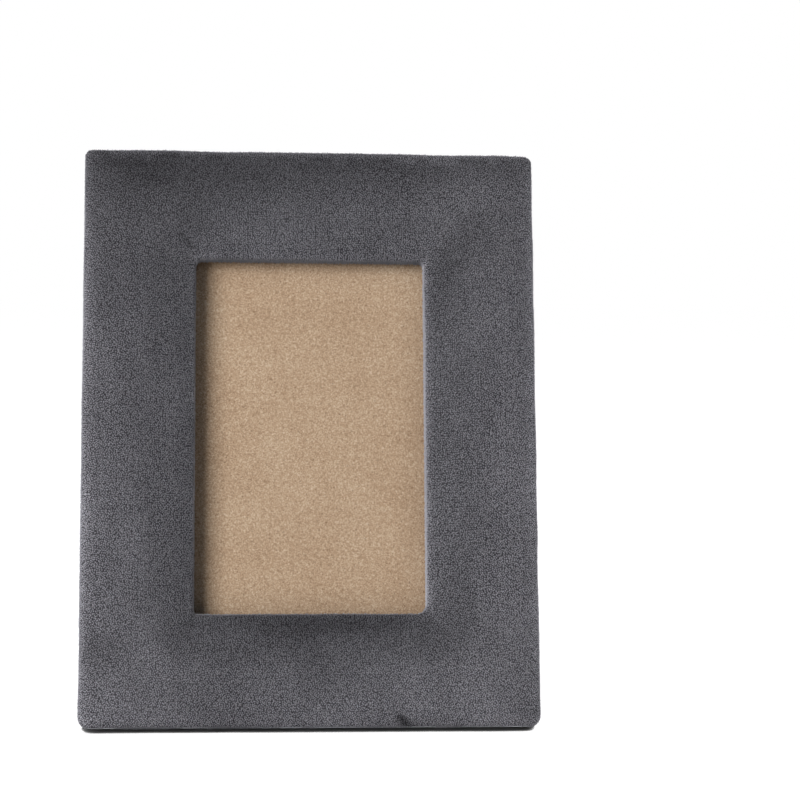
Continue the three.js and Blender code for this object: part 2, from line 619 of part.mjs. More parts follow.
// The fixed leaf: a plate riveted to the back panel, with an outer ear at each side for the pin.
function addHingeBase() {
  const pivot = new THREE.Group();
  pivot.position.set(0, PIN_Y, PIN_Z);
  leaning.add(pivot);
  const height = BASE_LEAF_HEIGHT + EAR_RADIUS;
  const sheet = rectangle(LEAF_WIDTH + LEAF_THICKNESS, height);
  const middle = height / 2 - EAR_RADIUS;
  const holeRadius = RIVET_SHANK_RADIUS + SEAT_GAP / 2;
  rivetSides.forEach(({ x }) => sheet.holes.push(roundHole(x, BASE_RIVET_Z - middle, holeRadius)));
  const bed = plate(sheet, LEAF_THICKNESS).translate(0, BOND_GAP - PIN_HEIGHT, middle);
  const bedY = BOND_GAP - PIN_HEIGHT + LEAF_THICKNESS / 2;
  piece(pivot, "hinge_base_leaf", join([bed, ear(-EAR_X, bedY), ear(EAR_X, bedY)]), nickel);
  const headFace = EAR_X + LEAF_THICKNESS / 2 + SEAT_GAP;
  const pin = lathe([
    [0, -headFace - PIN_HEAD_HEIGHT],
    [PIN_HEAD_RADIUS, -headFace - PIN_HEAD_HEIGHT],
    [PIN_HEAD_RADIUS, -headFace],
    [PIN_RADIUS, -headFace],
    [PIN_RADIUS, headFace],
    [PIN_HEAD_RADIUS, headFace],
    [PIN_HEAD_RADIUS, headFace + PIN_HEAD_HEIGHT],
    [0, headFace + PIN_HEAD_HEIGHT],
  ]);
  piece(pivot, "hinge_pin", pin.rotateZ(-Math.PI / 2), steel);
  rivetSides.forEach(({ name, x }) => {
    const clinchBack = PANEL_Y + COUNTERBORE_DEPTH - SEAT_GAP - PIN_Y;
    const fastener = rivet(clinchBack, BASE_LEAF_TOP + SEAT_GAP - PIN_HEIGHT);
    piece(pivot, `base_rivet_${name}`, fastener, nickel).position.set(x, 0, BASE_RIVET_Z);
  });
}

// The strut's outline below the pin: rounded at the top, wider and slightly rounded at the foot.
function strutOutline(bottom, inset) {
  const top = STRUT_TOP_Z - inset;
  const halfTop = STRUT_TOP_WIDTH / 2 - inset;
  const halfFoot = STRUT_FOOT_WIDTH / 2 - inset;
  const shape = new THREE.Shape();
  shape.moveTo(-halfFoot + STRUT_FOOT_RADIUS, bottom);
  shape.lineTo(halfFoot - STRUT_FOOT_RADIUS, bottom);
  shape.quadraticCurveTo(halfFoot, bottom, halfFoot, bottom + STRUT_FOOT_RADIUS);
  shape.lineTo(halfTop, top - STRUT_TOP_RADIUS);
  shape.quadraticCurveTo(halfTop, top, halfTop - STRUT_TOP_RADIUS, top);
  shape.lineTo(-halfTop + STRUT_TOP_RADIUS, top);
  shape.quadraticCurveTo(-halfTop, top, -halfTop, top - STRUT_TOP_RADIUS);
  shape.lineTo(-halfFoot, bottom + STRUT_FOOT_RADIUS);
  shape.quadraticCurveTo(-halfFoot, bottom, -halfFoot + STRUT_FOOT_RADIUS, bottom);
  return shape;
}

// The strut, open against the stop of its hinge, with its foot cut to lie flat on the floor.
function addStrut() {
  const swing = new THREE.Group();
  swing.position.set(0, PIN_Y, PIN_Z);
  swing.rotation.x = OPEN_ANGLE;
  leaning.add(swing);
  swing.updateMatrix();
  const toStrut = swing.matrix.clone().invert();
  const pinAboveFloor = EDGE_MIDDLE_HEIGHT + (PIN_Z - EDGE_MIDDLE_Z) * Math.cos(LEAN)
    - (PIN_Y - EDGE_MIDDLE_Y) * Math.sin(LEAN);
  const slant = OPEN_ANGLE - LEAN;
  const bottom = -pinAboveFloor / Math.cos(slant) - STRUT_THICKNESS * Math.abs(Math.tan(slant));

  const holes = rivetSides.map(({ x }) =>
    rivetHole(STRUT_FRONT_Y, STRUT_BACK_Y).translate(x, 0, STRUT_RIVET_Z),
  );
  const board = plate(strutOutline(bottom, 0), STRUT_THICKNESS).translate(0, STRUT_FRONT_Y, 0);
  piece(swing, "strut_board", cut(board, [...holes, floorBlock().applyMatrix4(toStrut)]), fibreboard);

  const paper = strutOutline(bottom, STRUT_LINING_INSET);
  const shankHole = RIVET_SHANK_RADIUS + SEAT_GAP / 2;
  rivetSides.forEach(({ x }) => paper.holes.push(roundHole(x, STRUT_RIVET_Z, shankHole)));
  const lining = plate(paper, LINING_THICKNESS).translate(0, STRUT_LINING_Y, 0);
  const raised = floorBlock(STRUT_LINING_INSET).applyMatrix4(toStrut);
  piece(swing, "strut_lining", cut(lining, [raised]), blackPaper);

  const leafBottom = STRUT_TOP_Z - STRUT_LEAF_LENGTH;
  const leafMiddle = (STOP_LENGTH + leafBottom) / 2;
  const sheet = rectangle(2 * INNER_EAR_X + LEAF_THICKNESS, STOP_LENGTH - leafBottom);
  rivetSides.forEach(({ x }) => sheet.holes.push(roundHole(x, STRUT_RIVET_Z - leafMiddle, shankHole)));
  const flap = plate(sheet, LEAF_THICKNESS).translate(0, STRUT_LEAF_Y, leafMiddle);
  const flapY = STRUT_LEAF_Y + LEAF_THICKNESS / 2;
  piece(swing, "hinge_strut_leaf", join([flap, ear(-INNER_EAR_X, flapY), ear(INNER_EAR_X, flapY)]), nickel);

  rivetSides.forEach(({ name, x }) => {
    const clinchBack = STRUT_FRONT_Y + COUNTERBORE_DEPTH - SEAT_GAP;
    const fastener = rivet(clinchBack, STRUT_LEAF_Y + LEAF_THICKNESS + SEAT_GAP);
    piece(swing, `strut_rivet_${name}`, fastener, nickel).position.set(x, 0, STRUT_RIVET_Z);
  });
}

addVelvetCover();
addFoamPad();
addRails();
addCornerNails();
addRearLining();
addGlazingAndBoards();
addTurnButtons();
addHingeBase();
addStrut();

export default frame;
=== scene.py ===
"""Looks for a velvet photo frame: a padded border wrapped in short-pile velvet, with an easel back."""

import logging
import math
from abc import ABC, abstractmethod
from dataclasses import dataclass, field
from enum import Enum
from functools import partial
from typing import Any, Callable, Sequence

import bpy
import numpy as np
from bpy.types import ID, Material, Mesh, Node, NodeSocket, NodeTree, Object
from mathutils import Matrix, Vector, noise

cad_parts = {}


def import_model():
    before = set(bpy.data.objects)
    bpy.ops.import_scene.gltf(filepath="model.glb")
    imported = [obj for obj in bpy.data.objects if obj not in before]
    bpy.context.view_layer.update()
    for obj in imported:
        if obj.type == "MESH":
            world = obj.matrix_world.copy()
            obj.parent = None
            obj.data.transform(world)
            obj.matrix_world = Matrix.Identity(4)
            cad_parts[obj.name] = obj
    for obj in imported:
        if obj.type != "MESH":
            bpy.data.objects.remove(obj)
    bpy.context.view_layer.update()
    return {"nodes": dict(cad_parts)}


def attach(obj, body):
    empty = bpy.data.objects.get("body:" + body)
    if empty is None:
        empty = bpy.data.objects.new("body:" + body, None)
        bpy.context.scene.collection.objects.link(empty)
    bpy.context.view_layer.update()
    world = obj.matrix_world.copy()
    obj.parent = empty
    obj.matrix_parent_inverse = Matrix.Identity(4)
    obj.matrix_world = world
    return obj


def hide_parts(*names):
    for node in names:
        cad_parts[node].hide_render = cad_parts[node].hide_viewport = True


log = logging.getLogger("velvet_frame")

MM = 0.001
BAKE_MAP = "OFBake"

Pair = tuple[float, float]
Triple = tuple[float, float, float]
Stops = tuple[tuple[float, str], ...]
Adder = Callable[..., Node]

# Values that the velvet's mesh and its tufts carry.
PILE_FIELD = "pile_field"
BORDER_PLACE = "border_place"
TUFT_TINT = "tuft_tint"
TUFT_ROOT = "tuft_root"
TUFT_PLACE = "tuft_place"
ROOT_PLACE = "root_place"

# Kinds of node that come up often.
NOISE = "ShaderNodeTexNoise"
MATH = "ShaderNodeMath"
VECTOR_MATH = "ShaderNodeVectorMath"
MAP_RANGE = "ShaderNodeMapRange"
MAPPING = "ShaderNodeMapping"
RAMP = "ShaderNodeValToRGB"
BUMP = "ShaderNodeBump"
PLACES = "ShaderNodeTexCoord"
CARRIED = "ShaderNodeAttribute"
PRINCIPLED = "ShaderNodeBsdfPrincipled"
COMPARE = "FunctionNodeCompare"
RANDOM = "FunctionNodeRandomValue"
RECALL = "GeometryNodeInputNamedAttribute"
STORE = "GeometryNodeStoreNamedAttribute"

# Sockets of the Mix node, which gives its colour, vector and number sockets the same names.
MIX_FACTOR, MIX_FIRST, MIX_SECOND, MIX_COLOUR = 0, 6, 7, 2


class Zone(Enum):
    """The stretches of the velvet's cross-section, from its rear raw edge to the one under the glass."""

    REAR = "rear"
    REAR_EDGE = "rear_edge"
    SIDE = "side"
    FRONT_EDGE = "front_edge"
    CROWN = "crown"
    SLOPE = "slope"
    ROLL = "roll"
    WALL = "wall"
    LEDGE = "ledge"


PADDED_ZONES = (Zone.FRONT_EDGE, Zone.CROWN, Zone.SLOPE, Zone.ROLL)
FRONT_ZONES = (Zone.CROWN, Zone.SLOPE, Zone.ROLL, Zone.WALL)
SIDE_ZONES = (Zone.REAR_EDGE, Zone.SIDE, Zone.FRONT_EDGE)


class PileRegion(Enum):
    """The two fields of pile, with the mesh attribute that marks where each one grows."""

    FRONT = "front_pile"
    SIDES = "side_pile"


class Body(Enum):
    """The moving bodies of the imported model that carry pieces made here."""

    FRAME = "frame"


def linear(colour: str) -> tuple[float, float, float, float]:
    """Turns an sRGB hex colour into linear light.

    Args:
        colour: Six hex digits after a hash sign.

    Returns:
        Linear red, green, blue and an alpha of 1.
    """
    channels = [int(colour[i:i + 2], 16) / 255 for i in (1, 3, 5)]
    light = [c / 12.92 if c <= 0.04045 else ((c + 0.055) / 1.055) ** 2.4 for c in channels]
    return (*light, 1.0)


def per_metre(size_mm: float) -> float:
    """Gives the texture scale whose features are about size_mm wide on Object coordinates."""
    return 1.0 / (size_mm * MM)


def add_node(
    tree: NodeTree,
    kind: str,
    inputs: dict[Any, Any] | None = None,
    **settings: Any,
) -> Node:
    """Adds one node with its settings, and sets or links its inputs.

    Args:
        tree: The node tree that gets the node.
        kind: The node's type name.
        inputs: By name or number, a value, an output socket, or a node that stands for its first output.
        **settings: Properties of the node.

    Returns:
        The new node.
    """
    node = tree.nodes.new(kind)
    for name, value in settings.items():
        setattr(node, name, value)
    for key, value in (inputs or {}).items():
        source = value.outputs[0] if isinstance(value, Node) else value
        if isinstance(source, NodeSocket):
            tree.links.new(source, node.inputs[key])
        else:
            node.inputs[key].default_value = source
    return node


def set_ramp(node: Node, stops: Sequence[tuple[float, str]]) -> None:
    """Gives a colour ramp its stops.

    Args:
        node: The colour ramp node.
        stops: Positions from 0 to 1 with their hex colours, in rising order.
    """
    elements = node.color_ramp.elements
    while len(elements) < len(stops):
        elements.new(1.0)
    for element, (position, colour) in zip(elements, stops):
        element.position = position
        element.color = linear(colour)


def seen(add: Adder) -> Node:
    """Gives 1 for what the camera, a mirror or clear glass sees, and 0 for light that falls on things.

    Args:
        add: Adds one node.

    Returns:
        The node that tells them apart.
    """
    path = add("ShaderNodeLightPath").outputs
    shine = add(MATH, {0: path["Is Camera Ray"], 1: path["Is Glossy Ray"]}, operation="MAXIMUM")
    return add(MATH, {0: shine, 1: path["Is Transmission Ray"]}, operation="MAXIMUM")


def add_object(name: str, data: ID) -> Object:
    """Makes an object for a mesh, lamp or camera and links it to the scene.

    Args:
        name: The object's name.
        data: The mesh, lamp or camera.

    Returns:
        The object.
    """
    made = bpy.data.objects.new(name, data)
    bpy.context.scene.collection.objects.link(made)
    return made


def plain_piece(host: Object, name: str) -> Object:
    """Turns an object and its modifiers into a piece with a plain mesh.

    Args:
        host: The object with the modifiers, which is removed.
        name: The piece's name.

    Returns:
        The piece.
    """
    mesh = bpy.data.meshes.new_from_object(host.evaluated_get(bpy.context.evaluated_depsgraph_get()))
    old = host.data
    bpy.data.objects.remove(host)
    bpy.data.meshes.remove(old)
    mesh.name = name
    log.info("%s: %d faces", name, len(mesh.polygons))
    return add_object(name, mesh)


def ring_mesh(name: str, points: np.ndarray, closed: bool) -> Mesh:
    """Joins loops of points with quads that face outwards.

    Args:
        name: The mesh's name.
        points: Points as (loops, columns, 3) in metres.
        closed: Whether the last loop is joined to the first.

    Returns:
        The mesh.
    """
    count, columns = points.shape[:2]
    quads = []
    for row in range(count if closed else count - 1):
        first = row * columns
        second = (row + 1) % count * columns
        for column in range(columns):
            following = (column + 1) % columns
            quads.append((first + column, first + following, second + following, second + column))
    mesh = bpy.data.meshes.new(name)
    mesh.from_pydata(points.reshape(-1, 3).tolist(), [], quads)
    return mesh


@dataclass(frozen=True)
class LeaningAxes:
    """The frame's own axes: x to the right, depth towards the back and z up the leaning face, in mm.

    They start in the middle of the window, level with the front of the rails.
    """

    lean: float = 13.0
    depth_start: float = 16.1329
    height_start: float = 113.7215

    def up(self) -> Triple:
        """Gives the direction up the leaning face, in the row's axes."""
        return (0.0, math.sin(math.radians(self.lean)), math.cos(math.radians(self.lean)))

    def to_row(self, points: np.ndarray) -> np.ndarray:
        """Moves points from the frame's own axes to the row's.

        Args:
            points: Points as (..., 3), x, depth and z in mm.

        Returns:
            The same points in the row's axes, in metres.
        """
        _, sine, cosine = self.up()
        x, depth, z = np.moveaxis(points, -1, 0)
        back = depth * cosine + z * sine + self.depth_start
        height = -depth * sine + z * cosine + self.height_start
        return np.stack([x, back, height], axis=-1) * MM


@dataclass(frozen=True)
class Finish(ABC):
    """A material made of nodes on the piece's own coordinates. Pattern sizes are in mm."""

    name: str

    @abstractmethod
    def surface(self, add: Adder) -> Node:
        """Builds the nodes of the surface.

        Args:
            add: Adds one node.

        Returns:
            The last node of the surface.
        """

    def material(self) -> Material:
        """Makes the material.

        Returns:
            The material.
        """
        material = bpy.data.materials.new(self.name)
        material.use_nodes = True
        material.node_tree.nodes.clear()
        add = partial(add_node, material.node_tree)
        add("ShaderNodeOutputMaterial", {"Surface": self.surface(add)})
        return material


@dataclass(frozen=True)
class NapAndLightMark:
    """A patch on the upright face whose colour is raised or lowered: its middle, its half size and tilt.
    Some patches are turned nap, others painted highlights along rims and edges or painted shade in a corner
    of the window.

    Sizes are in mm, and tone is the share of light that it gains.
    """

    at: Pair
    half: Pair
    tone: float
    tilt: float = 0.0


@dataclass(frozen=True)
class Grain:
    """How paleness is mixed: a start, then a weight for locks, fibres, clumps, brush marks and tufts."""

    shades: tuple[str, str, str, str]
    start: float
    weights: tuple[float, ...]


@dataclass(frozen=True)
class VelvetFinish(Finish):
    """Short-pile polyester velvet, brushed down the frame: a soft grain with darker and lighter nap.

    The base colour is painted darker or paler by which way the surface faces, darkest on slopes that turn up
    the frame: painted shade and painted light for how the leaning pile catches the light. Across the border
    it is painted darker on the slopes round the window and paler on the window's walls and along the outer
    rim: painted shade and painted sheen. Towards the top the colour is darker.
    """

    up: Triple
    tufted: bool
    # The ground's shades are darker than the tufts': painted shade on the roots between the tufts.
    shaded_ground_grain: Grain = Grain(
        shades=("#262529", "#444347", "#5e5d62", "#858489"),
        start=-0.115,
        weights=(0.25, 0.25, 0.02, 0.3),
    )
    tuft_grain: Grain = Grain(
        shades=("#504f54", "#6c6b70", "#85848a", "#b4b3ba"),
        start=0.189,
        weights=(0.08, 0.17, 0.02, 0.3, 0.12),
    )
    shade_places: tuple[float, ...] = (0.1, 0.36, 0.56, 0.95)
    sheen: str = "#e6e8f0"
    sheen_weight: float = 1.0
    sheen_roughness: float = 0.26
    roughness: float = 0.92
    lock: float = 0.46
    fibre: float = 0.2
    clump: float = 6.0
    brush_mark: float = 26.0
    lattice_turn: Triple = (0.6, 0.45, 0.8)
    lock_shape: Triple = (1.0, 0.9, 0.8)
    stroke_shape: Triple = (1.0, 1.0, 0.4)
    tint_power: float = 3.0
    relief_depth: float = 0.4
    tuft_uprightness: float = 3.0
    # Painted shade and painted light by which way the surface faces: darkest on slopes that turn up the
    # frame, paler where it turns a little down.
    facing_shade_tones: Stops = (
        (0.0, "#cccccc"), (0.25, "#f0f0f0"), (0.4, "#ffffff"), (0.5, "#f4f4f4"), (0.6, "#e5e5e5"),
        (0.64, "#cbcbcb"), (0.7, "#c3c3c3"), (0.85, "#c3c3c3"), (1.0, "#d7d7d7"),
    )
    # Painted shade on the slopes round the window and painted sheen on the window's walls and along the
    # outer rim, by the place across the border.
    border_shade_and_sheen: Stops = (
        (0.0, "#d4d4d4"), (0.012, "#b9b9b9"), (0.03, "#a7a7a7"), (0.07, "#9f9f9f"), (0.33, "#a0a0a0"),
        (0.48, "#aaaaaa"), (0.7, "#aaaaaa"), (0.86, "#aeaeae"), (0.91, "#b2b2b2"), (0.96, "#bcbcbc"),
        (1.0, "#d2d2d2"),
    )
    # Darker towards the top of the frame.
    height_tones: Stops = (
        (0.0, "#f0f0f0"), (0.1, "#f2f2f2"), (0.17, "#ffffff"), (0.45, "#ffffff"), (0.72, "#f8f8f8"),
        (0.85, "#f4f4f4"), (0.97, "#c3c3c3"),
    )
    full_height: float = 230.0
    level_lie: Triple = (-0.14, 0.0, 1.0)
    level_waver: float = 30.0
    tone_gain: float = 3.27
    mark_core: float = 0.1
    ragged_edge: float = 6.0
    # Patches of turned nap, and among them painted highlights and painted shade.
    nap_and_light_marks: tuple[NapAndLightMark, ...] = (
        NapAndLightMark(at=(-83, 174), half=(18, 32), tone=-0.24),
        NapAndLightMark(at=(-24, 193), half=(20, 12), tone=0.12, tilt=8),
        NapAndLightMark(at=(36, 191), half=(14, 13), tone=0.15, tilt=-20),
        NapAndLightMark(at=(60, 189), half=(12, 24), tone=-0.28, tilt=30),
        NapAndLightMark(at=(-27, 22), half=(34, 20), tone=0.17),
        NapAndLightMark(at=(62, 18), half=(40, 20), tone=0.17),
        NapAndLightMark(at=(-79, 8), half=(20, 15), tone=0.2),
        NapAndLightMark(at=(-82, 32), half=(17, 14), tone=-0.26),
        NapAndLightMark(at=(78, 110), half=(14, 110), tone=0.17),
        NapAndLightMark(at=(12, 41), half=(46, 6), tone=-0.22),
        NapAndLightMark(at=(-34, 38), half=(20, 8), tone=0.3),
        NapAndLightMark(at=(36.9, 4.6), half=(6.5, 4), tone=-0.75, tilt=20),
        NapAndLightMark(at=(54, 170), half=(12, 24), tone=-0.17),
        NapAndLightMark(at=(50, 118), half=(8, 76), tone=-0.14),
        NapAndLightMark(at=(56, 52), half=(13, 30), tone=-0.17),
        NapAndLightMark(at=(-57, 108), half=(14, 84), tone=0.2),
        NapAndLightMark(at=(50, 225), half=(27, 5), tone=0.42),
        NapAndLightMark(at=(66, 214), half=(30, 13), tone=0.2),
        NapAndLightMark(at=(64, 143), half=(16, 16), tone=-0.15),
        NapAndLightMark(at=(-72, 217), half=(24, 10), tone=-0.15),
        NapAndLightMark(at=(-70, 223), half=(28, 7), tone=-0.26),
        NapAndLightMark(at=(74, 58), half=(16, 26), tone=0.11),
        NapAndLightMark(at=(-72, 50), half=(12, 18), tone=-0.12),
        NapAndLightMark(at=(-45, 200), half=(12, 16), tone=-0.14),
        # Painted highlight along the top rim.
        NapAndLightMark(at=(0, 226), half=(400, 3.4), tone=0.7),
        # Painted highlight along the right rim.
        NapAndLightMark(at=(91, 113), half=(5.5, 400), tone=0.45),
        NapAndLightMark(at=(84, 6), half=(9, 9), tone=-0.14),
        # Painted highlight on the lit edge of the window's left side.
        NapAndLightMark(at=(-45.7, 112), half=(2, 85), tone=0.4),
        # Painted shade in the window's top left corner.
        NapAndLightMark(at=(-49, 190), half=(2.5, 8), tone=-0.28, tilt=-45),
        NapAndLightMark(at=(0, 43.5), half=(50, 3), tone=-0.07),
    )

    def surface(self, add: Adder) -> Node:
        """Builds the velvet: first its grain, then painted shade and light by facing and across the border
        and a darkening towards the top, then the patches of nap and of painted light.

        Args:
            add: Adds one node.

        Returns:
            The last node of the surface.
        """
        place = add(PLACES).outputs["Object"]
        clump = add(NOISE, {"Vector": place, "Scale": per_metre(self.clump), "Detail": 1.5})
        strokes = add(MAPPING, {"Vector": place, "Scale": self.stroke_shape})
        marks = add(NOISE, {
            "Vector": strokes, "Scale": per_metre(self.brush_mark), "Detail": 1.0, "Distortion": 0.4,
        })
        if self.tufted:
            facing = add(CARRIED, attribute_name=TUFT_ROOT).outputs["Vector"]
        else:
            facing = add("ShaderNodeNewGeometry").outputs["Normal"]
        grain = self.tuft_grain if self.tufted else self.shaded_ground_grain
        paleness = self.paleness(add, grain, place, (clump, marks))
        colour = add(RAMP, {"Fac": paleness})
        set_ramp(colour, tuple(zip(self.shade_places, grain.shades)))
        rise = add(VECTOR_MATH, {0: facing, 1: self.up}, operation="DOT_PRODUCT").outputs["Value"]
        slope = add(MAP_RANGE, {"Value": rise, "From Min": -1.0})
        across = add(CARRIED, attribute_name=BORDER_PLACE).outputs["Fac"]
        level = self.level(add, place, marks)
        # The first two ramps paint shade and light, by which way the surface faces and across the border;
        # the third darkens the velvet towards the top.
        nap = ((slope, self.facing_shade_tones), (across, self.border_shade_and_sheen), (level, self.height_tones))
        for factor, stops in nap:
            tones = add(RAMP, {"Fac": factor})
            set_ramp(tones, stops)
            colour = add(VECTOR_MATH, {0: colour, 1: tones}, operation="MULTIPLY")
        gain = self.nap_and_light_gain(add, place, clump)
        colour = add(VECTOR_MATH, {0: colour, "Scale": gain}, operation="SCALE")
        relief = add(BUMP, {"Height": paleness, "Strength": 0.4, "Distance": self.relief_depth * MM})
        if self.tufted:
            standing = add(VECTOR_MATH, {0: facing, "Scale": self.tuft_uprightness}, operation="SCALE")
            relief = add(VECTOR_MATH, {0: standing, 1: relief}, operation="ADD")
            relief = add(VECTOR_MATH, {0: relief}, operation="NORMALIZE")
        return add(PRINCIPLED, {
            "Base Color": colour, "Roughness": self.roughness, "Specular IOR Level": 0.1,
            "Sheen Weight": self.sheen_weight, "Sheen Roughness": self.sheen_roughness,
            "Sheen Tint": linear(self.sheen), "Normal": relief,
        })

    def paleness(self, add: Adder, grain: Grain, place: NodeSocket, broad: tuple[Node, ...]) -> Node:
        """Mixes the patterns of the grain.

        Args:
            add: Adds a node.
            grain: How the patterns are mixed.
            place: Places on the piece.
            broad: The clumps and the brush marks.

        Returns:
            The node that gives how pale a place is.
        """
        along_nap = add(MAPPING, {"Vector": place, "Rotation": self.lattice_turn, "Scale": self.lock_shape})
        speckle = add(NOISE, {"Vector": along_nap, "Scale": per_metre(self.lock), "Detail": 0.0})
        locks = add(MAP_RANGE, {
            "Value": speckle, "From Min": 0.33, "From Max": 0.67,
        }, interpolation_type="SMOOTHSTEP")
        fibre = add(NOISE, {"Vector": along_nap, "Scale": per_metre(self.fibre), "Detail": 1.0})
        layers = [locks, fibre, *broad]
        if self.tufted:
            tint = add(CARRIED, attribute_name=TUFT_TINT).outputs["Fac"]
            layers.append(add(MATH, {0: tint, 1: self.tint_power}, operation="POWER"))
        total = grain.start
        for layer, weight in zip(layers, grain.weights):
            total = add(MATH, {0: layer, 1: weight, 2: total}, operation="MULTIPLY_ADD")
        return total

    def level(self, add: Adder, place: NodeSocket, marks: Node) -> Node:
        """Gives how far up the frame a place lies, from 0 to 1, on lines as uneven as the brush marks.

        Args:
            add: Adds one node.
            place: Places on the piece.
            marks: The brush marks.

        Returns:
            The node that gives the level.
        """
        lie = add(VECTOR_MATH, {0: place, 1: self.level_lie}, operation="DOT_PRODUCT")
        waver = self.level_waver * MM
        uneven = add(MATH, {0: marks, 1: waver, 2: lie.outputs["Value"]}, operation="MULTIPLY_ADD")
        return add(MAP_RANGE, {
            "Value": uneven, "From Min": waver / 2, "From Max": self.full_height * MM + waver / 2,
        })

    def nap_and_light_gain(self, add: Adder, place: NodeSocket, clump: Node) -> Node:
        """Gives the gain in colour at each place: patches of turned nap, painted highlights and painted
        shade, whose edges the clumps make ragged.

        Args:
            add: Adds one node.
            place: Places on the piece.
            clump: The clumps.

        Returns:
            The node that gives the gain.
        """
        ragged = add(VECTOR_MATH, {
            0: clump.outputs["Color"], 1: (self.ragged_edge * MM,) * 3, 2: place,
        }, operation="MULTIPLY_ADD")
        gain = self.tone_gain
        for mark in self.nap_and_light_marks:
            x, z = ((along + self.ragged_edge / 2) * MM for along in mark.at)
            half_width, half_height = (half * MM for half in mark.half)
            within = add(MAPPING, {
                "Vector": ragged, "Location": (x, 0.0, z), "Rotation": (0.0, math.radians(mark.tilt), 0.0),
                "Scale": (half_width, 1.0, half_height),
            }, vector_type="TEXTURE")
            out = add(VECTOR_MATH, {0: within}, operation="LENGTH").outputs["Value"]
            turned = add(MAP_RANGE, {
                "Value": out, "From Min": self.mark_core, "To Min": mark.tone * self.tone_gain,
                "To Max": 0.0,
            }, interpolation_type="SMOOTHSTEP")
            gain = add(MATH, {0: gain, 1: turned}, operation="ADD")
        return gain


@dataclass(frozen=True)
class FibreboardFinish(Finish):
    """Raw medium-density fibreboard: warm tan felted wood fibre with fine dark specks.

    Towards the rim of the window its colour is painted a little darker: painted shade from the window's
    walls.
    """

    name: str = "raw fibreboard"
    dark: str = "#9c795f"
    middle: str = "#cba68a"
    pale: str = "#ecd0b8"
    speck: str = "#7d6049"
    speck_weight: float = 0.6
    fibre: float = 0.62
    speck_spacing: float = 2.6
    cloud: float = 26.0
    cloud_weight: float = 0.14
    relief_depth: float = 0.2
    roughness: float = 0.82
    rim_middle: Triple = (0.0, 0.0, 0.112)
    rim_reach: Triple = (0.046, 1.0, 0.0692)
    rim_shade_starts: Pair = (0.74, 0.83)
    rim_shade_tone: float = 0.88

    def surface(self, add: Adder) -> Node:
        """Builds the fibreboard.

        Args:
            add: Adds one node.

        Returns:
            The last node of the surface.
        """
        place = add(PLACES).outputs["Object"]
        fibre = add(NOISE, {
            "Vector": place, "Scale": per_metre(self.fibre), "Detail": 3.0, "Roughness": 0.65,
            "Distortion": 0.6,
        })
        cloud = add(NOISE, {"Vector": place, "Scale": per_metre(self.cloud), "Detail": 2.0})
        uneven = {0: cloud, 1: self.cloud_weight, 2: -self.cloud_weight / 2}
        tone = add(MATH, uneven, operation="MULTIPLY_ADD")
        mixed = add(MATH, {0: fibre, 1: tone}, operation="ADD", use_clamp=True)
        ramp = add(RAMP, {"Fac": mixed})
        set_ramp(ramp, ((0.3, self.dark), (0.5, self.middle), (0.7, self.pale)))
        cells = add("ShaderNodeTexVoronoi", {"Vector": place, "Scale": per_metre(self.speck_spacing)})
        specks = add(MAP_RANGE, {
            "Value": cells, "From Min": 0.06, "From Max": 0.16, "To Min": self.speck_weight, "To Max": 0.0,
        })
        colour = add("ShaderNodeMix", {
            MIX_FACTOR: specks, MIX_FIRST: ramp, MIX_SECOND: linear(self.speck),
        }, data_type="RGBA")
        # Painted shade: the colour darkens towards the rim of the window, where its walls shade the board.
        within = add(MAPPING, {
            "Vector": place, "Location": self.rim_middle, "Scale": self.rim_reach,
        }, vector_type="TEXTURE")
        apart = add("ShaderNodeSeparateXYZ", {0: within}).outputs
        rim_darkening = 1.0
        for axis, start in zip("XZ", self.rim_shade_starts):
            out = add(MATH, {0: apart[axis]}, operation="ABSOLUTE")
            rim_falloff = add(MAP_RANGE, {"Value": out, "From Min": start, "To Min": 1.0, "To Max": self.rim_shade_tone})
            rim_darkening = add(MATH, {0: rim_darkening, 1: rim_falloff}, operation="MULTIPLY")
        rim_shaded_colour = add(VECTOR_MATH, {0: colour.outputs[MIX_COLOUR], "Scale": rim_darkening}, operation="SCALE")
        relief = add(BUMP, {"Height": fibre, "Strength": 0.25, "Distance": self.relief_depth * MM})
        return add(PRINCIPLED, {
            "Base Color": rim_shaded_colour, "Roughness": self.roughness, "Specular IOR Level": 0.2, "Normal": relief,
        })


@dataclass(frozen=True)
class FlockPaperFinish(Finish):
    """Black flocked paper: a dense fibre dust on paper, matt with a faint bloom and scuffed patches."""

    name: str = "black flocked paper"
    dark: str = "#1a191b"
    pale: str = "#373539"
    sheen: str = "#8d8c94"
    flock: float = 0.7
    scuff: float = 18.0
    scuff_weight: float = 0.8
    relief_depth: float = 0.2
    roughness: float = 0.95

    def surface(self, add: Adder) -> Node:
        """Builds the flocked paper.

        Args:
            add: Adds one node.

        Returns:
            The last node of the surface.
        """
        place = add(PLACES).outputs["Object"]
        flock = add(NOISE, {
            "Vector": place, "Scale": per_metre(self.flock), "Detail": 2.0, "Roughness": 0.7,
        })
        scuff = add(NOISE, {
            "Vector": place, "Scale": per_metre(self.scuff), "Detail": 4.0, "Distortion": 1.2,
        })
        worn = {0: scuff, 1: self.scuff_weight, 2: -self.scuff_weight / 2}
        tone = add(MATH, worn, operation="MULTIPLY_ADD")
        mixed = add(MATH, {0: flock, 1: tone}, operation="ADD", use_clamp=True)
        ramp = add(RAMP, {"Fac": mixed})
        set_ramp(ramp, ((0.28, self.dark), (0.75, self.pale)))
        relief = add(BUMP, {"Height": flock, "Strength": 0.5, "Distance": self.relief_depth * MM})
        return add(PRINCIPLED, {
            "Base Color": ramp, "Roughness": self.roughness, "Specular IOR Level": 0.1,
            "Sheen Weight": 0.25, "Sheen Roughness": 0.5, "Sheen Tint": linear(self.sheen),
            "Normal": relief,
        })


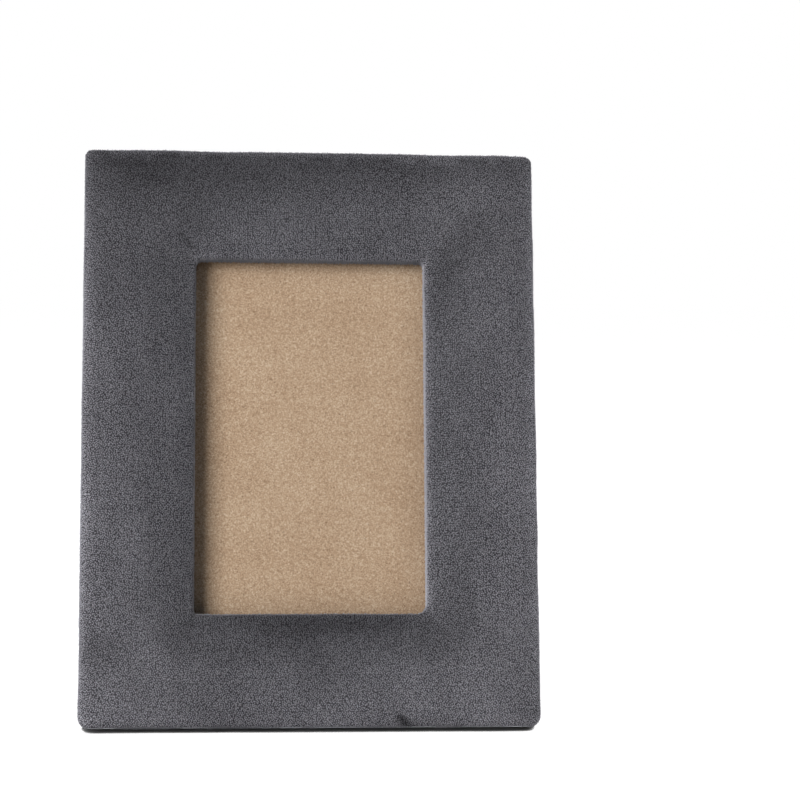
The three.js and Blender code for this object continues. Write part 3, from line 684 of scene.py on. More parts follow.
@dataclass(frozen=True)
class MetalFinish(Finish):
    """Stamped sheet or drawn wire: fine handling marks, faint tarnish and edges rounded by tumbling."""

    bright: str
    dull: str
    roughness: float
    dulling: float = 0.12
    polish: float = 0.05
    tarnish: float = 7.0
    scratch: float = 0.25
    scratch_shape: Triple = (0.08, 1.0, 1.0)
    relief_depth: float = 0.1
    edge: float = 0.15

    def surface(self, add: Adder) -> Node:
        """Builds the metal.

        Args:
            add: Adds one node.

        Returns:
            The last node of the surface.
        """
        place = add(PLACES).outputs["Object"]
        tarnish = add(NOISE, {
            "Vector": place, "Scale": per_metre(self.tarnish), "Detail": 4.0, "Roughness": 0.6,
        })
        drawn = add(MAPPING, {"Vector": place, "Scale": self.scratch_shape})
        scratch = add(NOISE, {"Vector": drawn, "Scale": per_metre(self.scratch), "Detail": 2.0})
        ramp = add(RAMP, {"Fac": tarnish})
        set_ramp(ramp, ((0.3, self.dull), (0.62, self.bright)))
        dullest, brightest = self.roughness + self.dulling, self.roughness - self.polish
        gloss = add(MAP_RANGE, {
            "Value": tarnish, "From Min": 0.3, "From Max": 0.7, "To Min": dullest, "To Max": brightest,
        })
        rounded = add("ShaderNodeBevel", {"Radius": self.edge * MM}, samples=4)
        relief = add(BUMP, {
            "Height": scratch, "Strength": 0.12, "Distance": self.relief_depth * MM, "Normal": rounded,
        })
        return add(PRINCIPLED, {"Base Color": ramp, "Metallic": 1.0, "Roughness": gloss, "Normal": relief})


@dataclass(frozen=True)
class FloatGlassFinish(Finish):
    """Clear float glass, 2 mm: see-through, with a thin reflection that grows towards a grazing view."""

    name: str = "clear float glass"
    tint: str = "#fbfdfc"
    reflection: str = "#606060"
    ior: float = 1.5
    smear: float = 22.0
    haziest: float = 0.05

    def surface(self, add: Adder) -> Node:
        """Builds the glass.

        Args:
            add: Adds one node.

        Returns:
            The last node of the surface.
        """
        place = add(PLACES).outputs["Object"]
        smear = add(NOISE, {"Vector": place, "Scale": per_metre(self.smear), "Detail": 3.0})
        haze = add(MAP_RANGE, {"Value": smear, "From Min": 0.3, "From Max": 0.8, "To Max": self.haziest})
        clear = add("ShaderNodeBsdfTransparent", {"Color": linear(self.tint)})
        shine = add("ShaderNodeBsdfGlossy", {"Color": linear(self.reflection), "Roughness": haze})
        behind = add("ShaderNodeNewGeometry").outputs["Backfacing"]
        index = add(MAP_RANGE, {"Value": behind, "To Min": self.ior, "To Max": 1.0 / self.ior})
        angle = add("ShaderNodeFresnel", {"IOR": index})
        return add("ShaderNodeMixShader", {0: angle, 1: clear, 2: shine})


@dataclass(frozen=True)
class FoamFinish(Finish):
    """Open-cell polyurethane foam: cream, with small round cells."""

    name: str = "open-cell foam"
    shaded_hollow: str = "#bdb394"
    wall: str = "#e6dfc8"
    cell: float = 0.8
    relief_depth: float = 0.3
    roughness: float = 0.95

    def surface(self, add: Adder) -> Node:
        """Builds the foam.

        Args:
            add: Adds one node.

        Returns:
            The last node of the surface.
        """
        place = add(PLACES).outputs["Object"]
        cells = add("ShaderNodeTexVoronoi", {"Vector": place, "Scale": per_metre(self.cell)})
        ramp = add(RAMP, {"Fac": cells})
        # The darker colour in the middle of each cell is painted shade in its hollow.
        set_ramp(ramp, ((0.1, self.shaded_hollow), (0.6, self.wall)))
        relief = add(BUMP, {"Height": cells, "Strength": 0.4, "Distance": self.relief_depth * MM})
        return add(PRINCIPLED, {"Base Color": ramp, "Roughness": self.roughness, "Normal": relief})


@dataclass(frozen=True)
class TableFinish(Finish):
    """White laminate, which stays white to the eye around the frame's own soft shadow."""

    name: str = "white laminate table"
    lit: str = "#cccccc"
    shaded: str = "#8a8a8a"
    shadow_reach: float = 3.3
    glow: float = 0.985

    def surface(self, add: Adder) -> Node:
        """Builds the table top.

        Args:
            add: Adds one node.

        Returns:
            The last node of the surface.
        """
        plain = add("ShaderNodeBsdfDiffuse", {"Color": linear(self.lit)})
        shaded = add("ShaderNodeBsdfDiffuse", {"Color": linear(self.shaded)})
        # The glow fades where the ambient-occlusion node finds the frame close by: a painted contact shadow
        # under the frame's lower edge, on top of the real soft shadow.
        clear = add("ShaderNodeAmbientOcclusion", {"Distance": self.shadow_reach * MM}).outputs["AO"]
        strength = add(MAP_RANGE, {
            "Value": clear, "From Min": 0.3, "From Max": 0.46, "To Max": self.glow,
        }, interpolation_type="SMOOTHSTEP")
        glow = add("ShaderNodeEmission", {"Strength": strength})
        bright = add("ShaderNodeAddShader", {0: shaded, 1: glow})
        return add("ShaderNodeMixShader", {0: seen(add), 1: plain, 2: bright})


@dataclass(frozen=True)
class ProfileRow:
    """One lengthwise thread of the velvet: where it runs in the cross-section and how firmly it is held."""

    offset: float
    depth: float
    zone: Zone
    held: float = 0.0


@dataclass
class VelvetWrap:
    """The padded border: one piece of velvet drawn over foam and wooden rails, and turned in at both edges.

    Sizes are in mm. Offsets run outwards from the window's edge and depths from the front of the rails.
    Corners are listed as top right, top left, bottom left and bottom right.
    """

    axes: LeaningAxes
    finish: VelvetFinish
    sight_width: float = 92.0
    sight_height: float = 142.0
    border: float = 44.0
    fabric: float = 1.2
    back_depth: float = 12.3
    rear_end: float = 7.5
    lining_edge: float = 38.0
    lining_lap: float = 1.0
    rear_edge_radius: float = 3.0
    front_edge_radius: float = 3.0
    front_edge_width: float = 5.5
    crown_depth: float = -7.1
    crown_rise: float = 1.4
    crown_offset: float = 21.0
    slope_drop: float = 4.6
    slope_power: float = 1.3
    bend_width: float = 2.6
    bend_pull: float = 0.6
    wall_top: float = -1.0
    ledge_depth: float = 4.9
    ledge_end: float = 5.8
    ledge_radius: float = 1.4
    window_radii: tuple[float, ...] = (2.0, 3.2, 1.8, 4.0)
    outer_radii: tuple[float, ...] = (3.4, 2.6, 4.6, 4.2)
    corner_power: float = 1.5
    crease_depth: float = 0.5
    crease_half_width: float = 12.0
    crease_length: float = 16.0
    fold_depth: float = 0.6
    fold_half_width: float = 3.0
    fold_length: float = 9.0
    slack_start: float = 0.92
    swell_limit: float = 0.6
    edge_limit: float = 0.15
    sink_limit: float = 0.25
    slide_limit: float = 0.4
    wave_height: float = 0.34
    wave_length: float = 24.0
    ripple_height: float = 0.09
    ripple_length: float = 9.0
    ripple_start: Triple = (31.0, 17.0, 5.0)
    pressed_height: float = 0.05
    crown_steps: int = 8
    slope_steps: int = 11
    roll_steps: int = 6
    corner_steps: int = 8
    across_steps: int = 48
    along_steps: int = 72
    backing_step: int = 4
    sim_frames: int = 20
    even_passes: int = 10
    map_margin: float = 1.01
    backing_map_start: float = -30.0
    backing_map_spread: float = 14.0
    backing_map_step: float = 0.01
    rows: list[ProfileRow] = field(default_factory=list)
    face: np.ndarray | None = None

    def profile(self) -> list[ProfileRow]:
        """Draws the cross-section of the pile's face, from the rear raw edge to the one under the glass.

        Returns:
            The rows in order.
        """
        side_end = self.crown_depth + self.crown_rise + self.front_edge_radius
        rear_centre = (self.border - self.rear_edge_radius, self.back_depth - self.rear_edge_radius)
        front_centre = (self.border - self.front_edge_width, side_end)
        front_radii = (self.front_edge_width, self.front_edge_radius)
        ledge_centre = (self.ledge_radius, self.ledge_depth - self.ledge_radius)
        rows = [ProfileRow(self.rear_end, self.back_depth, Zone.REAR, held=1.0)]

        def line(end: Pair, zone: Zone, steps: int, held: Pair = (1.0, 1.0)) -> None:
            """Adds a straight stretch that ends at (offset, depth).

            Args:
                end: Where the stretch ends, as offset and depth.
                zone: The zone of its rows.
                steps: Number of rows.
                held: How firmly it is held at its start and its end.
            """
            start = (rows[-1].offset, rows[-1].depth)
            for t in np.linspace(0, 1, steps + 1)[1:]:
                offset, depth = (a + (b - a) * t for a, b in zip(start, end))
                rows.append(ProfileRow(offset, depth, zone, held[0] + (held[1] - held[0]) * t))

        def arc(centre: Pair, radii: Pair, turn: Pair, zone: Zone, steps: int, held: float) -> None:
            """Adds a bend about a centre, between two angles in degrees.

            Args:
                centre: Middle of the bend.
                radii: Its radii along the offset and the depth.
                turn: Angles at its start and its end.
                zone: The zone of its rows.
                steps: Number of rows.
                held: How firmly it is held.
            """
            for angle in np.radians(np.linspace(*turn, steps + 1)[1:]):
                offset = centre[0] + radii[0] * math.cos(angle)
                depth = centre[1] + radii[1] * math.sin(angle)
                rows.append(ProfileRow(offset, depth, zone, held))

        line((self.lining_edge - self.lining_lap, self.back_depth), Zone.REAR, steps=4)
        line((rear_centre[0], self.back_depth), Zone.REAR, steps=2)
        arc(rear_centre, (self.rear_edge_radius,) * 2, (90, 0), Zone.REAR_EDGE, steps=5, held=1.0)
        line((self.border, side_end), Zone.SIDE, steps=6, held=(0.9, 0.0))
        arc(front_centre, front_radii, (0, -90), Zone.FRONT_EDGE, steps=7, held=0.0)
        for t in np.linspace(1, 0, self.crown_steps + 1)[1:]:
            offset = self.crown_offset + (front_centre[0] - self.crown_offset) * t
            rows.append(ProfileRow(offset, self.crown_depth + self.crown_rise * t ** 2, Zone.CROWN))
        for offset in np.linspace(self.crown_offset, self.bend_width, self.slope_steps + 1)[1:]:
            rows.append(ProfileRow(offset, self.slope_depth(offset), Zone.SLOPE))
        for t in np.linspace(0, 1, self.roll_steps + 1)[1:]:
            rows.append(ProfileRow(*self.bend_place(t), Zone.ROLL))
        line((0.0, ledge_centre[1]), Zone.WALL, steps=3, held=(0.4, 1.0))
        arc(ledge_centre, (self.ledge_radius,) * 2, (180, 90), Zone.LEDGE, steps=3, held=1.0)
        line((self.ledge_end, self.ledge_depth), Zone.LEDGE, steps=2)
        return rows

    def slope_depth(self, offset: float) -> float:
        """Gives the depth of the pillowed face between its crown and the window."""
        share = (self.crown_offset - offset) / self.crown_offset
        return self.crown_depth + self.slope_drop * share ** self.slope_power

    def bend_place(self, t: float) -> Pair:
        """Follows the velvet as it turns from the pillowed face into the window.

        Args:
            t: From 0 at the face to 1 at the window's wall.

        Returns:
            The offset and the depth.
        """
        start = np.array((self.bend_width, self.slope_depth(self.bend_width)))
        end = np.array((0.0, self.wall_top))
        step = 0.01
        fall = (self.slope_depth(self.bend_width - step) - start[1]) / step
        reach = self.bend_pull * self.bend_width
        leaving = start + np.array((-reach, fall * reach))
        arriving = end - np.array((0.0, self.bend_pull * (end[1] - start[1])))
        parts = ((1 - t) ** 3, 3 * t * (1 - t) ** 2, 3 * t ** 2 * (1 - t), t ** 3)
        offset, depth = sum(w * q for w, q in zip(parts, (start, leaving, arriving, end)))
        return float(offset), float(depth)

    def loop(self, offset: float, radii: Sequence[float]) -> np.ndarray:
        """Draws one loop round the window, starting at its right side and turning anticlockwise.

        Args:
            offset: Distance outwards from the window's edge.
            radii: Radius of each corner.

        Returns:
            Points as (n, 2), x and z.
        """
        half_x = self.sight_width / 2 + offset
        half_z = self.sight_height / 2 + offset
        corners = ((1, 1, 0), (-1, 1, 90), (-1, -1, 180), (1, -1, 270))
        arcs = []
        for (side_x, side_z, start), radius in zip(corners, radii):
            angles = np.radians(np.linspace(start, start + 90, self.corner_steps + 1))
            x = side_x * (half_x - radius) + radius * np.cos(angles)
            z = side_z * (half_z - radius) + radius * np.sin(angles)
            arcs.append(np.stack([x, z], axis=1))
        points = []
        for index, steps in enumerate((self.across_steps, self.along_steps) * 2):
            end, following = arcs[index][-1], arcs[(index + 1) % 4][0]
            share = np.linspace(0, 1, steps + 1)[1:-1, None]
            points += [arcs[index], end + (following - end) * share]
        return np.concatenate(points)

    def corner_radii(self, row: ProfileRow) -> np.ndarray:
        """Gives a row's corner radii: the pillowed face turns round the window's corners in wide curves.

        Args:
            row: The row.

        Returns:
            Its radius at each corner.
        """
        inner, outer = np.array(self.window_radii), np.array(self.outer_radii)
        if row.zone not in PADDED_ZONES:
            share = min(1.0, max(0.0, row.offset / self.border))
            return inner + (outer - inner) * share ** 2
        if row.offset < self.crown_offset:
            return inner + row.offset
        widest = inner + self.crown_offset
        left = (self.border - row.offset) / (self.border - self.crown_offset)
        return outer + (widest - outer) * max(0.0, left) ** self.corner_power

    def crease(self, x: np.ndarray, z: np.ndarray) -> np.ndarray:
        """Gives how far the velvet is drawn down at the window's mitred corners.

        Args:
            x: Places to the right of the window's middle.
            z: Places above the window's middle.

        Returns:
            The share of the padding's depth that is lost.
        """
        past_x = np.abs(x) - self.sight_width / 2
        past_z = np.abs(z) - self.sight_height / 2
        aside = np.abs(past_x - past_z)
        out = np.maximum(past_x, past_z)
        lost = np.zeros_like(x)
        for depth, half_width, length in (
            (self.crease_depth, self.crease_half_width, self.crease_length),
            (self.fold_depth, self.fold_half_width, self.fold_length),
        ):
            lost += depth * (np.clip(1 - aside / half_width, 0, 1) * np.clip(1 - out / length, 0, 1)) ** 2
        return lost / -self.crown_depth

    def grid(self, fullness: float) -> np.ndarray:
        """Lays out the pile's face.

        Args:
            fullness: Share of the padding's height in front of the rails.

        Returns:
            Points as (rows, columns, 3) in the frame's own axes, in mm.
        """
        rows = []
        for row in self.rows:
            x, z = self.loop(row.offset, self.corner_radii(row)).T
            depth = np.full_like(x, row.depth)
            if row.depth < 0:
                depth = depth * (1 - self.crease(x, z)) * fullness
            rows.append(np.stack([x, depth, z], axis=1))
        return np.stack(rows)

    @staticmethod
    def normals(points: np.ndarray) -> np.ndarray:
        """Gives the outward direction at each point of the pile's face.

        Args:
            points: The pile's face as (rows, columns, 3).

        Returns:
            Unit directions in the same layout.
        """
        around = np.roll(points, -1, axis=1) - np.roll(points, 1, axis=1)
        across = np.gradient(points, axis=0)
        direction = np.cross(around, across)
        return direction / np.linalg.norm(direction, axis=2, keepdims=True)

    def blown_up(self, slack: np.ndarray) -> np.ndarray:
        """Runs a short cloth simulation with air behind the velvet, its stapled and glued rows held still.

        Args:
            slack: The slack face as (rows, columns, 3) in mm.

        Returns:
            The same points after the simulation.
        """
        columns = slack.shape[1]
        mesh = ring_mesh("velvet_before_swelling", slack * MM, closed=False)
        piece = add_object("velvet_before_swelling", mesh)
        group = piece.vertex_groups.new(name="held")
        for number, row in enumerate(self.rows):
            if row.held > 0:
                group.add(list(range(number * columns, (number + 1) * columns)), row.held, "REPLACE")
        cloth = piece.modifiers.new("cloth", "CLOTH")
        settings = cloth.settings
        settings.quality = 6
        settings.mass = 0.2
        settings.tension_stiffness = 25
        settings.compression_stiffness = 25
        settings.shear_stiffness = 12
        settings.bending_stiffness = 1.5
        settings.air_damping = 4
        settings.vertex_group_mass = group.name
        settings.use_pressure = True
        settings.uniform_pressure_force = 4.0
        settings.effector_weights.gravity = 0.0
        cloth.collision_settings.use_collision = False
        cloth.point_cache.frame_start = 1
        cloth.point_cache.frame_end = self.sim_frames
        for number in range(1, self.sim_frames + 1):
            bpy.context.scene.frame_set(number)
        evaluated = piece.evaluated_get(bpy.context.evaluated_depsgraph_get())
        flat = np.empty(slack.size)
        evaluated.data.vertices.foreach_get("co", flat)
        bpy.data.objects.remove(piece)
        bpy.data.meshes.remove(mesh)
        bpy.context.scene.frame_set(1)
        return flat.reshape(slack.shape) / MM

    def swell(self) -> np.ndarray:
        """Swells the padding, within the limits of each stretch.

        Returns:
            The swollen face as (rows, columns, 3) in mm.
        """
        swollen = self.blown_up(self.grid(self.slack_start))
        full = self.grid(1.0)
        outward = self.normals(full)
        move = swollen - full
        rise = np.sum(move * outward, axis=2, keepdims=True)
        slide = move - rise * outward
        limits = np.array([self.swell_limits(row.zone) for row in self.rows])[:, None, :]
        log.info("velvet swells by %.2f to %.2f mm before its limits", rise.min(), rise.max())
        rise = self.evened(np.clip(rise, limits[..., :1], limits[..., 1:]))
        length = np.linalg.norm(slide, axis=2, keepdims=True)
        slide = slide * np.minimum(1.0, self.slide_limit / np.maximum(length, np.finfo(float).eps))
        return full + rise * outward + slide

    def evened(self, rise: np.ndarray) -> np.ndarray:
        """Evens out the swelling between neighbouring threads, as foam under the velvet does.

        Args:
            rise: How far each point rises.

        Returns:
            The evened rise.
        """
        for _ in range(self.even_passes):
            rise = (np.roll(rise, 1, axis=1) + 2 * rise + np.roll(rise, -1, axis=1)) / 4
            rise[1:-1] = (rise[:-2] + 2 * rise[1:-1] + rise[2:]) / 4
        return rise

    def swell_limits(self, zone: Zone) -> Pair:
        """Gives the least and the most that a stretch of velvet may stand proud of its plain form.

        Args:
            zone: The zone of the stretch.

        Returns:
            The least and the most.
        """
        if zone in (Zone.CROWN, Zone.SLOPE):
            return (-self.sink_limit, self.swell_limit)
        if zone in (Zone.FRONT_EDGE, Zone.ROLL):
            return (-self.sink_limit, self.edge_limit)
        return (0.0, self.edge_limit)

    def wave(self, points: np.ndarray) -> np.ndarray:
        """Adds the slow waves of hand-stretched velvet, which die out where it is glued down.

        Args:
            points: The pile's face as (rows, columns, 3) in mm.

        Returns:
            The waved face.
        """
        height = np.empty(points.shape[:2])
        for row, column in np.ndindex(*height.shape):
            place = Vector(points[row, column])
            slow = noise.noise(place / self.wave_length)
            quick = noise.noise(place / self.ripple_length + Vector(self.ripple_start))
            free = 1.0 - self.rows[row].held
            height[row, column] = free * (slow * self.wave_height + quick * self.ripple_height)
        return points + self.normals(points) * height[..., None]

    def build(self) -> Object:
        """Makes the closed velvet piece, with its pile face, its backing and marks for where pile grows.

        Returns:
            The finished piece.
        """
        self.rows = self.profile()
        self.face = self.wave(self.swell())
        last = len(self.rows) - 1
        backing_rows = [row for row in range(last, -1, -1) if row % self.backing_step == 0 or row == last]
        backing = (self.face - self.normals(self.face) * self.fabric)[backing_rows]
        points = self.axes.to_row(np.concatenate([self.face, backing]))
        # The frame's weight flattens the lower rear edge on the table.
        points[..., 2] = np.maximum(points[..., 2], 0.0)
        mesh = ring_mesh("velvet_cage", points, closed=True)
        self.mark_pile(mesh)
        self.lay_out(mesh, total=len(points))
        mesh.shade_smooth()
        cage = add_object("velvet_cage", mesh)
        smooth = cage.modifiers.new("smooth", "SUBSURF")
        smooth.levels = smooth.render_levels = 1
        piece = plain_piece(cage, "velvet_wrap")
        piece.data.materials.clear()
        piece.data.materials.append(self.finish.material())
        return piece

    def mark_pile(self, mesh: Mesh) -> None:
        """Marks where each field of pile grows, and how far out on the border each point of the mesh lies.

        Args:
            mesh: The velvet's mesh, with the pile's face in its first rows.
        """
        zones = [row.zone for row in self.rows]
        on_front = np.array([[zone in FRONT_ZONES] for zone in zones])
        on_sides = np.array([[zone in SIDE_ZONES] for zone in zones])
        seen_from_front = (*FRONT_ZONES, Zone.FRONT_EDGE)
        outwards = [[row.offset / self.border if row.zone in seen_from_front else 1.0] for row in self.rows]
        lowest = self.pressed_height - self.sight_height / 2 - self.border
        free = self.face[..., 2] >= lowest
        for name, on_face, elsewhere in (
            (BORDER_PLACE, np.array(outwards), 1.0),
            (PILE_FIELD, (on_front | on_sides) & free, 0.0),
            (PileRegion.FRONT.value, on_front, 0.0),
            (PileRegion.SIDES.value, ~on_front, 1.0),
        ):
            values = np.full(len(mesh.vertices), elsewhere)
            values[:free.size] = np.broadcast_to(on_face, free.shape).ravel()
            mesh.attributes.new(name, "FLOAT", "POINT").data.foreach_set("value", values)

    def lay_out(self, mesh: Mesh, total: int) -> None:
        """Gives the mesh its UV map: the face as a frame with its sides folded open, the backing inside it.

        Args:
            mesh: The velvet's mesh.
            total: Number of rows with the backing.
        """
        thread = [(row.offset, row.depth) for row in self.rows]
        runs = np.concatenate([[0.0], np.cumsum([math.dist(a, b) for a, b in zip(thread, thread[1:])])])
        wall_row = next(i for i, row in enumerate(self.rows) if row.zone is Zone.WALL) - 1
        flat = [self.loop(runs[wall_row] - run, self.window_radii) for run in runs]
        side = 2 * self.map_margin * max(np.abs(row).max() for row in flat)
        places = []
        for row in range(total):
            if row + 1 < len(flat):
                first, second = (loop / side + 0.5 for loop in flat[row:row + 2])
            else:
                offset = self.backing_map_start + self.backing_map_spread * row / total
                first = self.loop(offset, (1.0,) * 4) / side + 0.5
                second = first + (first - 0.5) * self.backing_map_step
            corners = [first, np.roll(first, -1, axis=0), np.roll(second, -1, axis=0), second]
            places.append(np.stack(corners, axis=1))
        mesh.uv_layers.new(name=BAKE_MAP).data.foreach_set("uv", np.concatenate(places).ravel())


@dataclass
class FoamPadding:
    """The foam under the velvet, which fills the space between the fabric's backing and the rails, in mm."""

    wrap: VelvetWrap
    finish: FoamFinish
    clearance: float = 0.1
    glue_line: float = -0.2

    def build(self) -> Object:
        """Makes the foam as a closed ring that follows the swollen velvet.

        Returns:
            The finished piece.
        """
        wrap = self.wrap
        inside = wrap.face - wrap.normals(wrap.face) * (wrap.fabric + self.clearance)
        above_glue = inside[..., 1].max(axis=1) < self.glue_line - self.clearance
        chosen = [i for i, row in enumerate(wrap.rows) if row.zone in PADDED_ZONES and above_glue[i]]
        feet = inside[[chosen[0], chosen[-1]]].copy()
        feet[..., 1] = self.glue_line
        ring = np.concatenate([feet[:1], inside[chosen], feet[1:]])
        mesh = ring_mesh("foam_padding", wrap.axes.to_row(ring), closed=True)
        mesh.materials.append(self.finish.material())
        mesh.shade_smooth()
        log.info("foam_padding: %d faces", len(mesh.polygons))
        return add_object("foam_padding", mesh)


@dataclass
class VelvetPile:
    """The pile that stands on the velvet: short tufts that lean down the frame. Sizes are in mm.

    Real pile is about 0.02 mm thick, too fine to show, so each tuft stands for a lock of fibres.
    """

    axes: LeaningAxes
    region: PileRegion
    spacing: float = 0.6
    length: float = 0.65
    root_radius: float = 0.39
    lean: float = 1.15
    ruffle: float = 0.28
    jitter: float = 0.09
    smallest: float = 0.9
    largest: float = 1.1
    grown_from: float = 0.99
    region_from: float = 0.5
    most_per_square_metre: float = 1.6e7
    map_units_per_metre: float = 3.0
    seed: int = 7

    def inputs(self, material: Material) -> dict[str, tuple[str, Any]]:
        """Gives the inputs of the tree of tufts by name, each with its kind and its value in metres.

        Args:
            material: The pile's material.

        Returns:
            Kinds and values by name.
        """
        return {
            "Spacing": ("NodeSocketFloat", self.spacing * MM),
            "Length": ("NodeSocketFloat", self.length * MM),
            "Root radius": ("NodeSocketFloat", self.root_radius * MM),
            "Lean": ("NodeSocketFloat", self.lean),
            "Ruffle": ("NodeSocketFloat", self.ruffle),
            "Jitter": ("NodeSocketFloat", self.jitter * MM),
            "Nap": ("NodeSocketVector", tuple(-part for part in self.axes.up())),
            "Grows where": ("NodeSocketString", self.region.value),
            "Map scale": ("NodeSocketFloat", self.map_units_per_metre),
            "Seed": ("NodeSocketInt", self.seed),
            "Material": ("NodeSocketMaterial", material),
        }

    def tree(self, inputs: dict[str, tuple[str, Any]]) -> NodeTree:
        """Builds the Geometry Nodes tree that scatters, leans and tints the tufts.

        Args:
            inputs: The tree's inputs by name, each with its kind and its value.

        Returns:
            The node group.
        """
        tree = bpy.data.node_groups.new("pile tufts", "GeometryNodeTree")
        tree.interface.new_socket("Velvet", in_out="INPUT", socket_type="NodeSocketGeometry")
        for name, (kind, _) in inputs.items():
            tree.interface.new_socket(name, in_out="INPUT", socket_type=kind)
        tree.interface.new_socket("Pile", in_out="OUTPUT", socket_type="NodeSocketGeometry")
        add = partial(add_node, tree)
        given = add("NodeGroupInput").outputs
        seed = given["Seed"]
        grown = add(RECALL, {"Name": PILE_FIELD}, data_type="FLOAT")
        inside = add(COMPARE, {0: grown, 1: self.grown_from}, data_type="FLOAT", operation="GREATER_THAN")
        roots = add("GeometryNodeDistributePointsOnFaces", {
            "Mesh": given["Velvet"], "Distance Min": given["Spacing"],
            "Density Max": self.most_per_square_metre, "Selection": inside, "Seed": seed,
        }, distribute_method="POISSON")
        normal = roots.outputs["Normal"]
        where = add(RECALL, {"Name": given["Grows where"]}, data_type="FLOAT")
        other = add(COMPARE, {0: where, 1: self.region_from}, data_type="FLOAT", operation="LESS_THAN")
        kept = {"Geometry": roots, "Selection": other}
        points = add("GeometryNodeDeleteGeometry", kept, domain="POINT")
        least, most = (-1.0,) * 3, (1.0,) * 3
        swirl = add(RANDOM, {0: least, 1: most, "Seed": seed}, data_type="FLOAT_VECTOR")
        shift = add(VECTOR_MATH, {0: swirl, "Scale": given["Jitter"]}, operation="SCALE")
        points = add("GeometryNodeSetPosition", {"Geometry": points, "Offset": shift})
        flat_place = add(RECALL, {"Name": BAKE_MAP}, data_type="FLOAT_VECTOR")
        for name, value in ((ROOT_PLACE, flat_place), (TUFT_ROOT, normal)):
            stored = {"Geometry": points, "Name": name, "Value": value}
            points = add(STORE, stored, data_type="FLOAT_VECTOR", domain="POINT")
        spike = add("GeometryNodeMeshCone", {
            "Vertices": 3, "Radius Top": 0.0, "Radius Bottom": given["Root radius"],
            "Depth": given["Length"],
        }, fill_type="NGON")
        spot = {"Geometry": spike, "Name": TUFT_PLACE, "Value": add("GeometryNodeInputPosition")}
        tuft = add(STORE, spot, data_type="FLOAT_VECTOR", domain="POINT")
        direction = normal
        for push, amount in ((given["Nap"], given["Lean"]), (swirl, given["Ruffle"])):
            pushed = add(VECTOR_MATH, {0: push, "Scale": amount}, operation="SCALE")
            direction = add(VECTOR_MATH, {0: direction, 1: pushed}, operation="ADD")
        turned = add("FunctionNodeAlignRotationToVector", {"Vector": direction}, axis="Z")
        size = add(RANDOM, {2: self.smallest, 3: self.largest, "Seed": seed}, data_type="FLOAT")
        tufts = add("GeometryNodeInstanceOnPoints", {
            "Points": points, "Instance": tuft, "Rotation": turned, "Scale": size.outputs[1],
        })
        shade = add(RANDOM, {2: 0.0, 3: 1.0, "Seed": seed}, data_type="FLOAT")
        tint = {"Geometry": tufts, "Name": TUFT_TINT, "Value": shade.outputs[1]}
        tinted = add(STORE, tint, data_type="FLOAT", domain="INSTANCE")
        pile = add("GeometryNodeRealizeInstances", {"Geometry": tinted})
        root = add(RECALL, {"Name": ROOT_PLACE}, data_type="FLOAT_VECTOR")
        from_root = add(RECALL, {"Name": TUFT_PLACE}, data_type="FLOAT_VECTOR")
        beside = add(VECTOR_MATH, {0: from_root, "Scale": given["Map scale"]}, operation="SCALE")
        place = add(VECTOR_MATH, {0: root, 1: beside}, operation="ADD")
        mapped = {"Geometry": pile, "Name": BAKE_MAP, "Value": place}
        pile = add(STORE, mapped, data_type="FLOAT2", domain="CORNER")
        for name in (ROOT_PLACE, TUFT_PLACE):
            pile = add("GeometryNodeRemoveAttribute", {"Geometry": pile, "Name": name})
        pile = add("GeometryNodeSetMaterial", {"Geometry": pile, "Material": given["Material"]})
        add("NodeGroupOutput", {"Pile": pile})
        return tree

    def build(self, velvet: Object, material: Material) -> Object:
        """Grows the pile on the velvet.

        Args:
            velvet: The finished velvet piece.
            material: The pile's material.

        Returns:
            The pile as one plain mesh.
        """
        inputs = self.inputs(material)
        host = add_object("pile_host", velvet.data.copy())
        grow = host.modifiers.new("pile", "NODES")
        grow.node_group = self.tree(inputs)
        for socket in grow.node_group.interface.items_tree:
            if socket.name in inputs:
                grow[socket.identifier] = inputs[socket.name][1]
        return plain_piece(host, f"velvet_{self.region.value}")


@dataclass
class JoineryAndGlazing:
    """The rails, boards, glass, linings and fittings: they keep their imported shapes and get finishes."""

    nodes: dict[str, Object]
    sides: tuple[str, ...] = ("top", "right", "bottom", "left")
    corners: tuple[str, ...] = ("top_right", "top_left", "bottom_left", "bottom_right")
    fastenings: tuple[str, ...] = ("left_upper", "left_lower", "right_upper", "right_lower")

    def dress(self) -> None:
        """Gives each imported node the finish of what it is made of."""
        rails = [f"{side}_rail" for side in self.sides]
        rivets = [f"{leaf}_rivet_{side}" for leaf in ("base", "strut") for side in ("left", "right")]
        buttons = [f"turn_{kind}_{place}" for kind in ("button", "screw") for place in self.fastenings]
        nails = [f"corner_nail_{corner}" for corner in self.corners]
        nickel = MetalFinish("nickel-plated steel sheet", bright="#d3cdc0", dull="#b5aea0", roughness=0.26)
        steel = MetalFinish("drawn steel wire", bright="#b9bbbd", dull="#8c8e90", roughness=0.34)
        for finish, names in (
            (FibreboardFinish(), [*rails, "back_panel", "strut_board", "insert_board"]),
            (FlockPaperFinish(), ["rear_lining", "back_panel_lining", "strut_lining"]),
            (nickel, ["hinge_base_leaf", "hinge_strut_leaf", *rivets, *buttons]),
            (steel, [*nails, "hinge_pin"]),
            (FloatGlassFinish(), ["glass_pane"]),
        ):
            material = finish.material()
            for name in names:
                for slot in self.nodes[name].material_slots:
                    slot.material = material
                log.info("%s: %s", name, material.name)


@dataclass(frozen=True)
class SoftBox:
    """A square lamp that faces the frame. Angles are in degrees, lengths in metres and power in watts."""

    name: str
    azimuth: float
    elevation: float
    distance: float
    side: float
    power: float


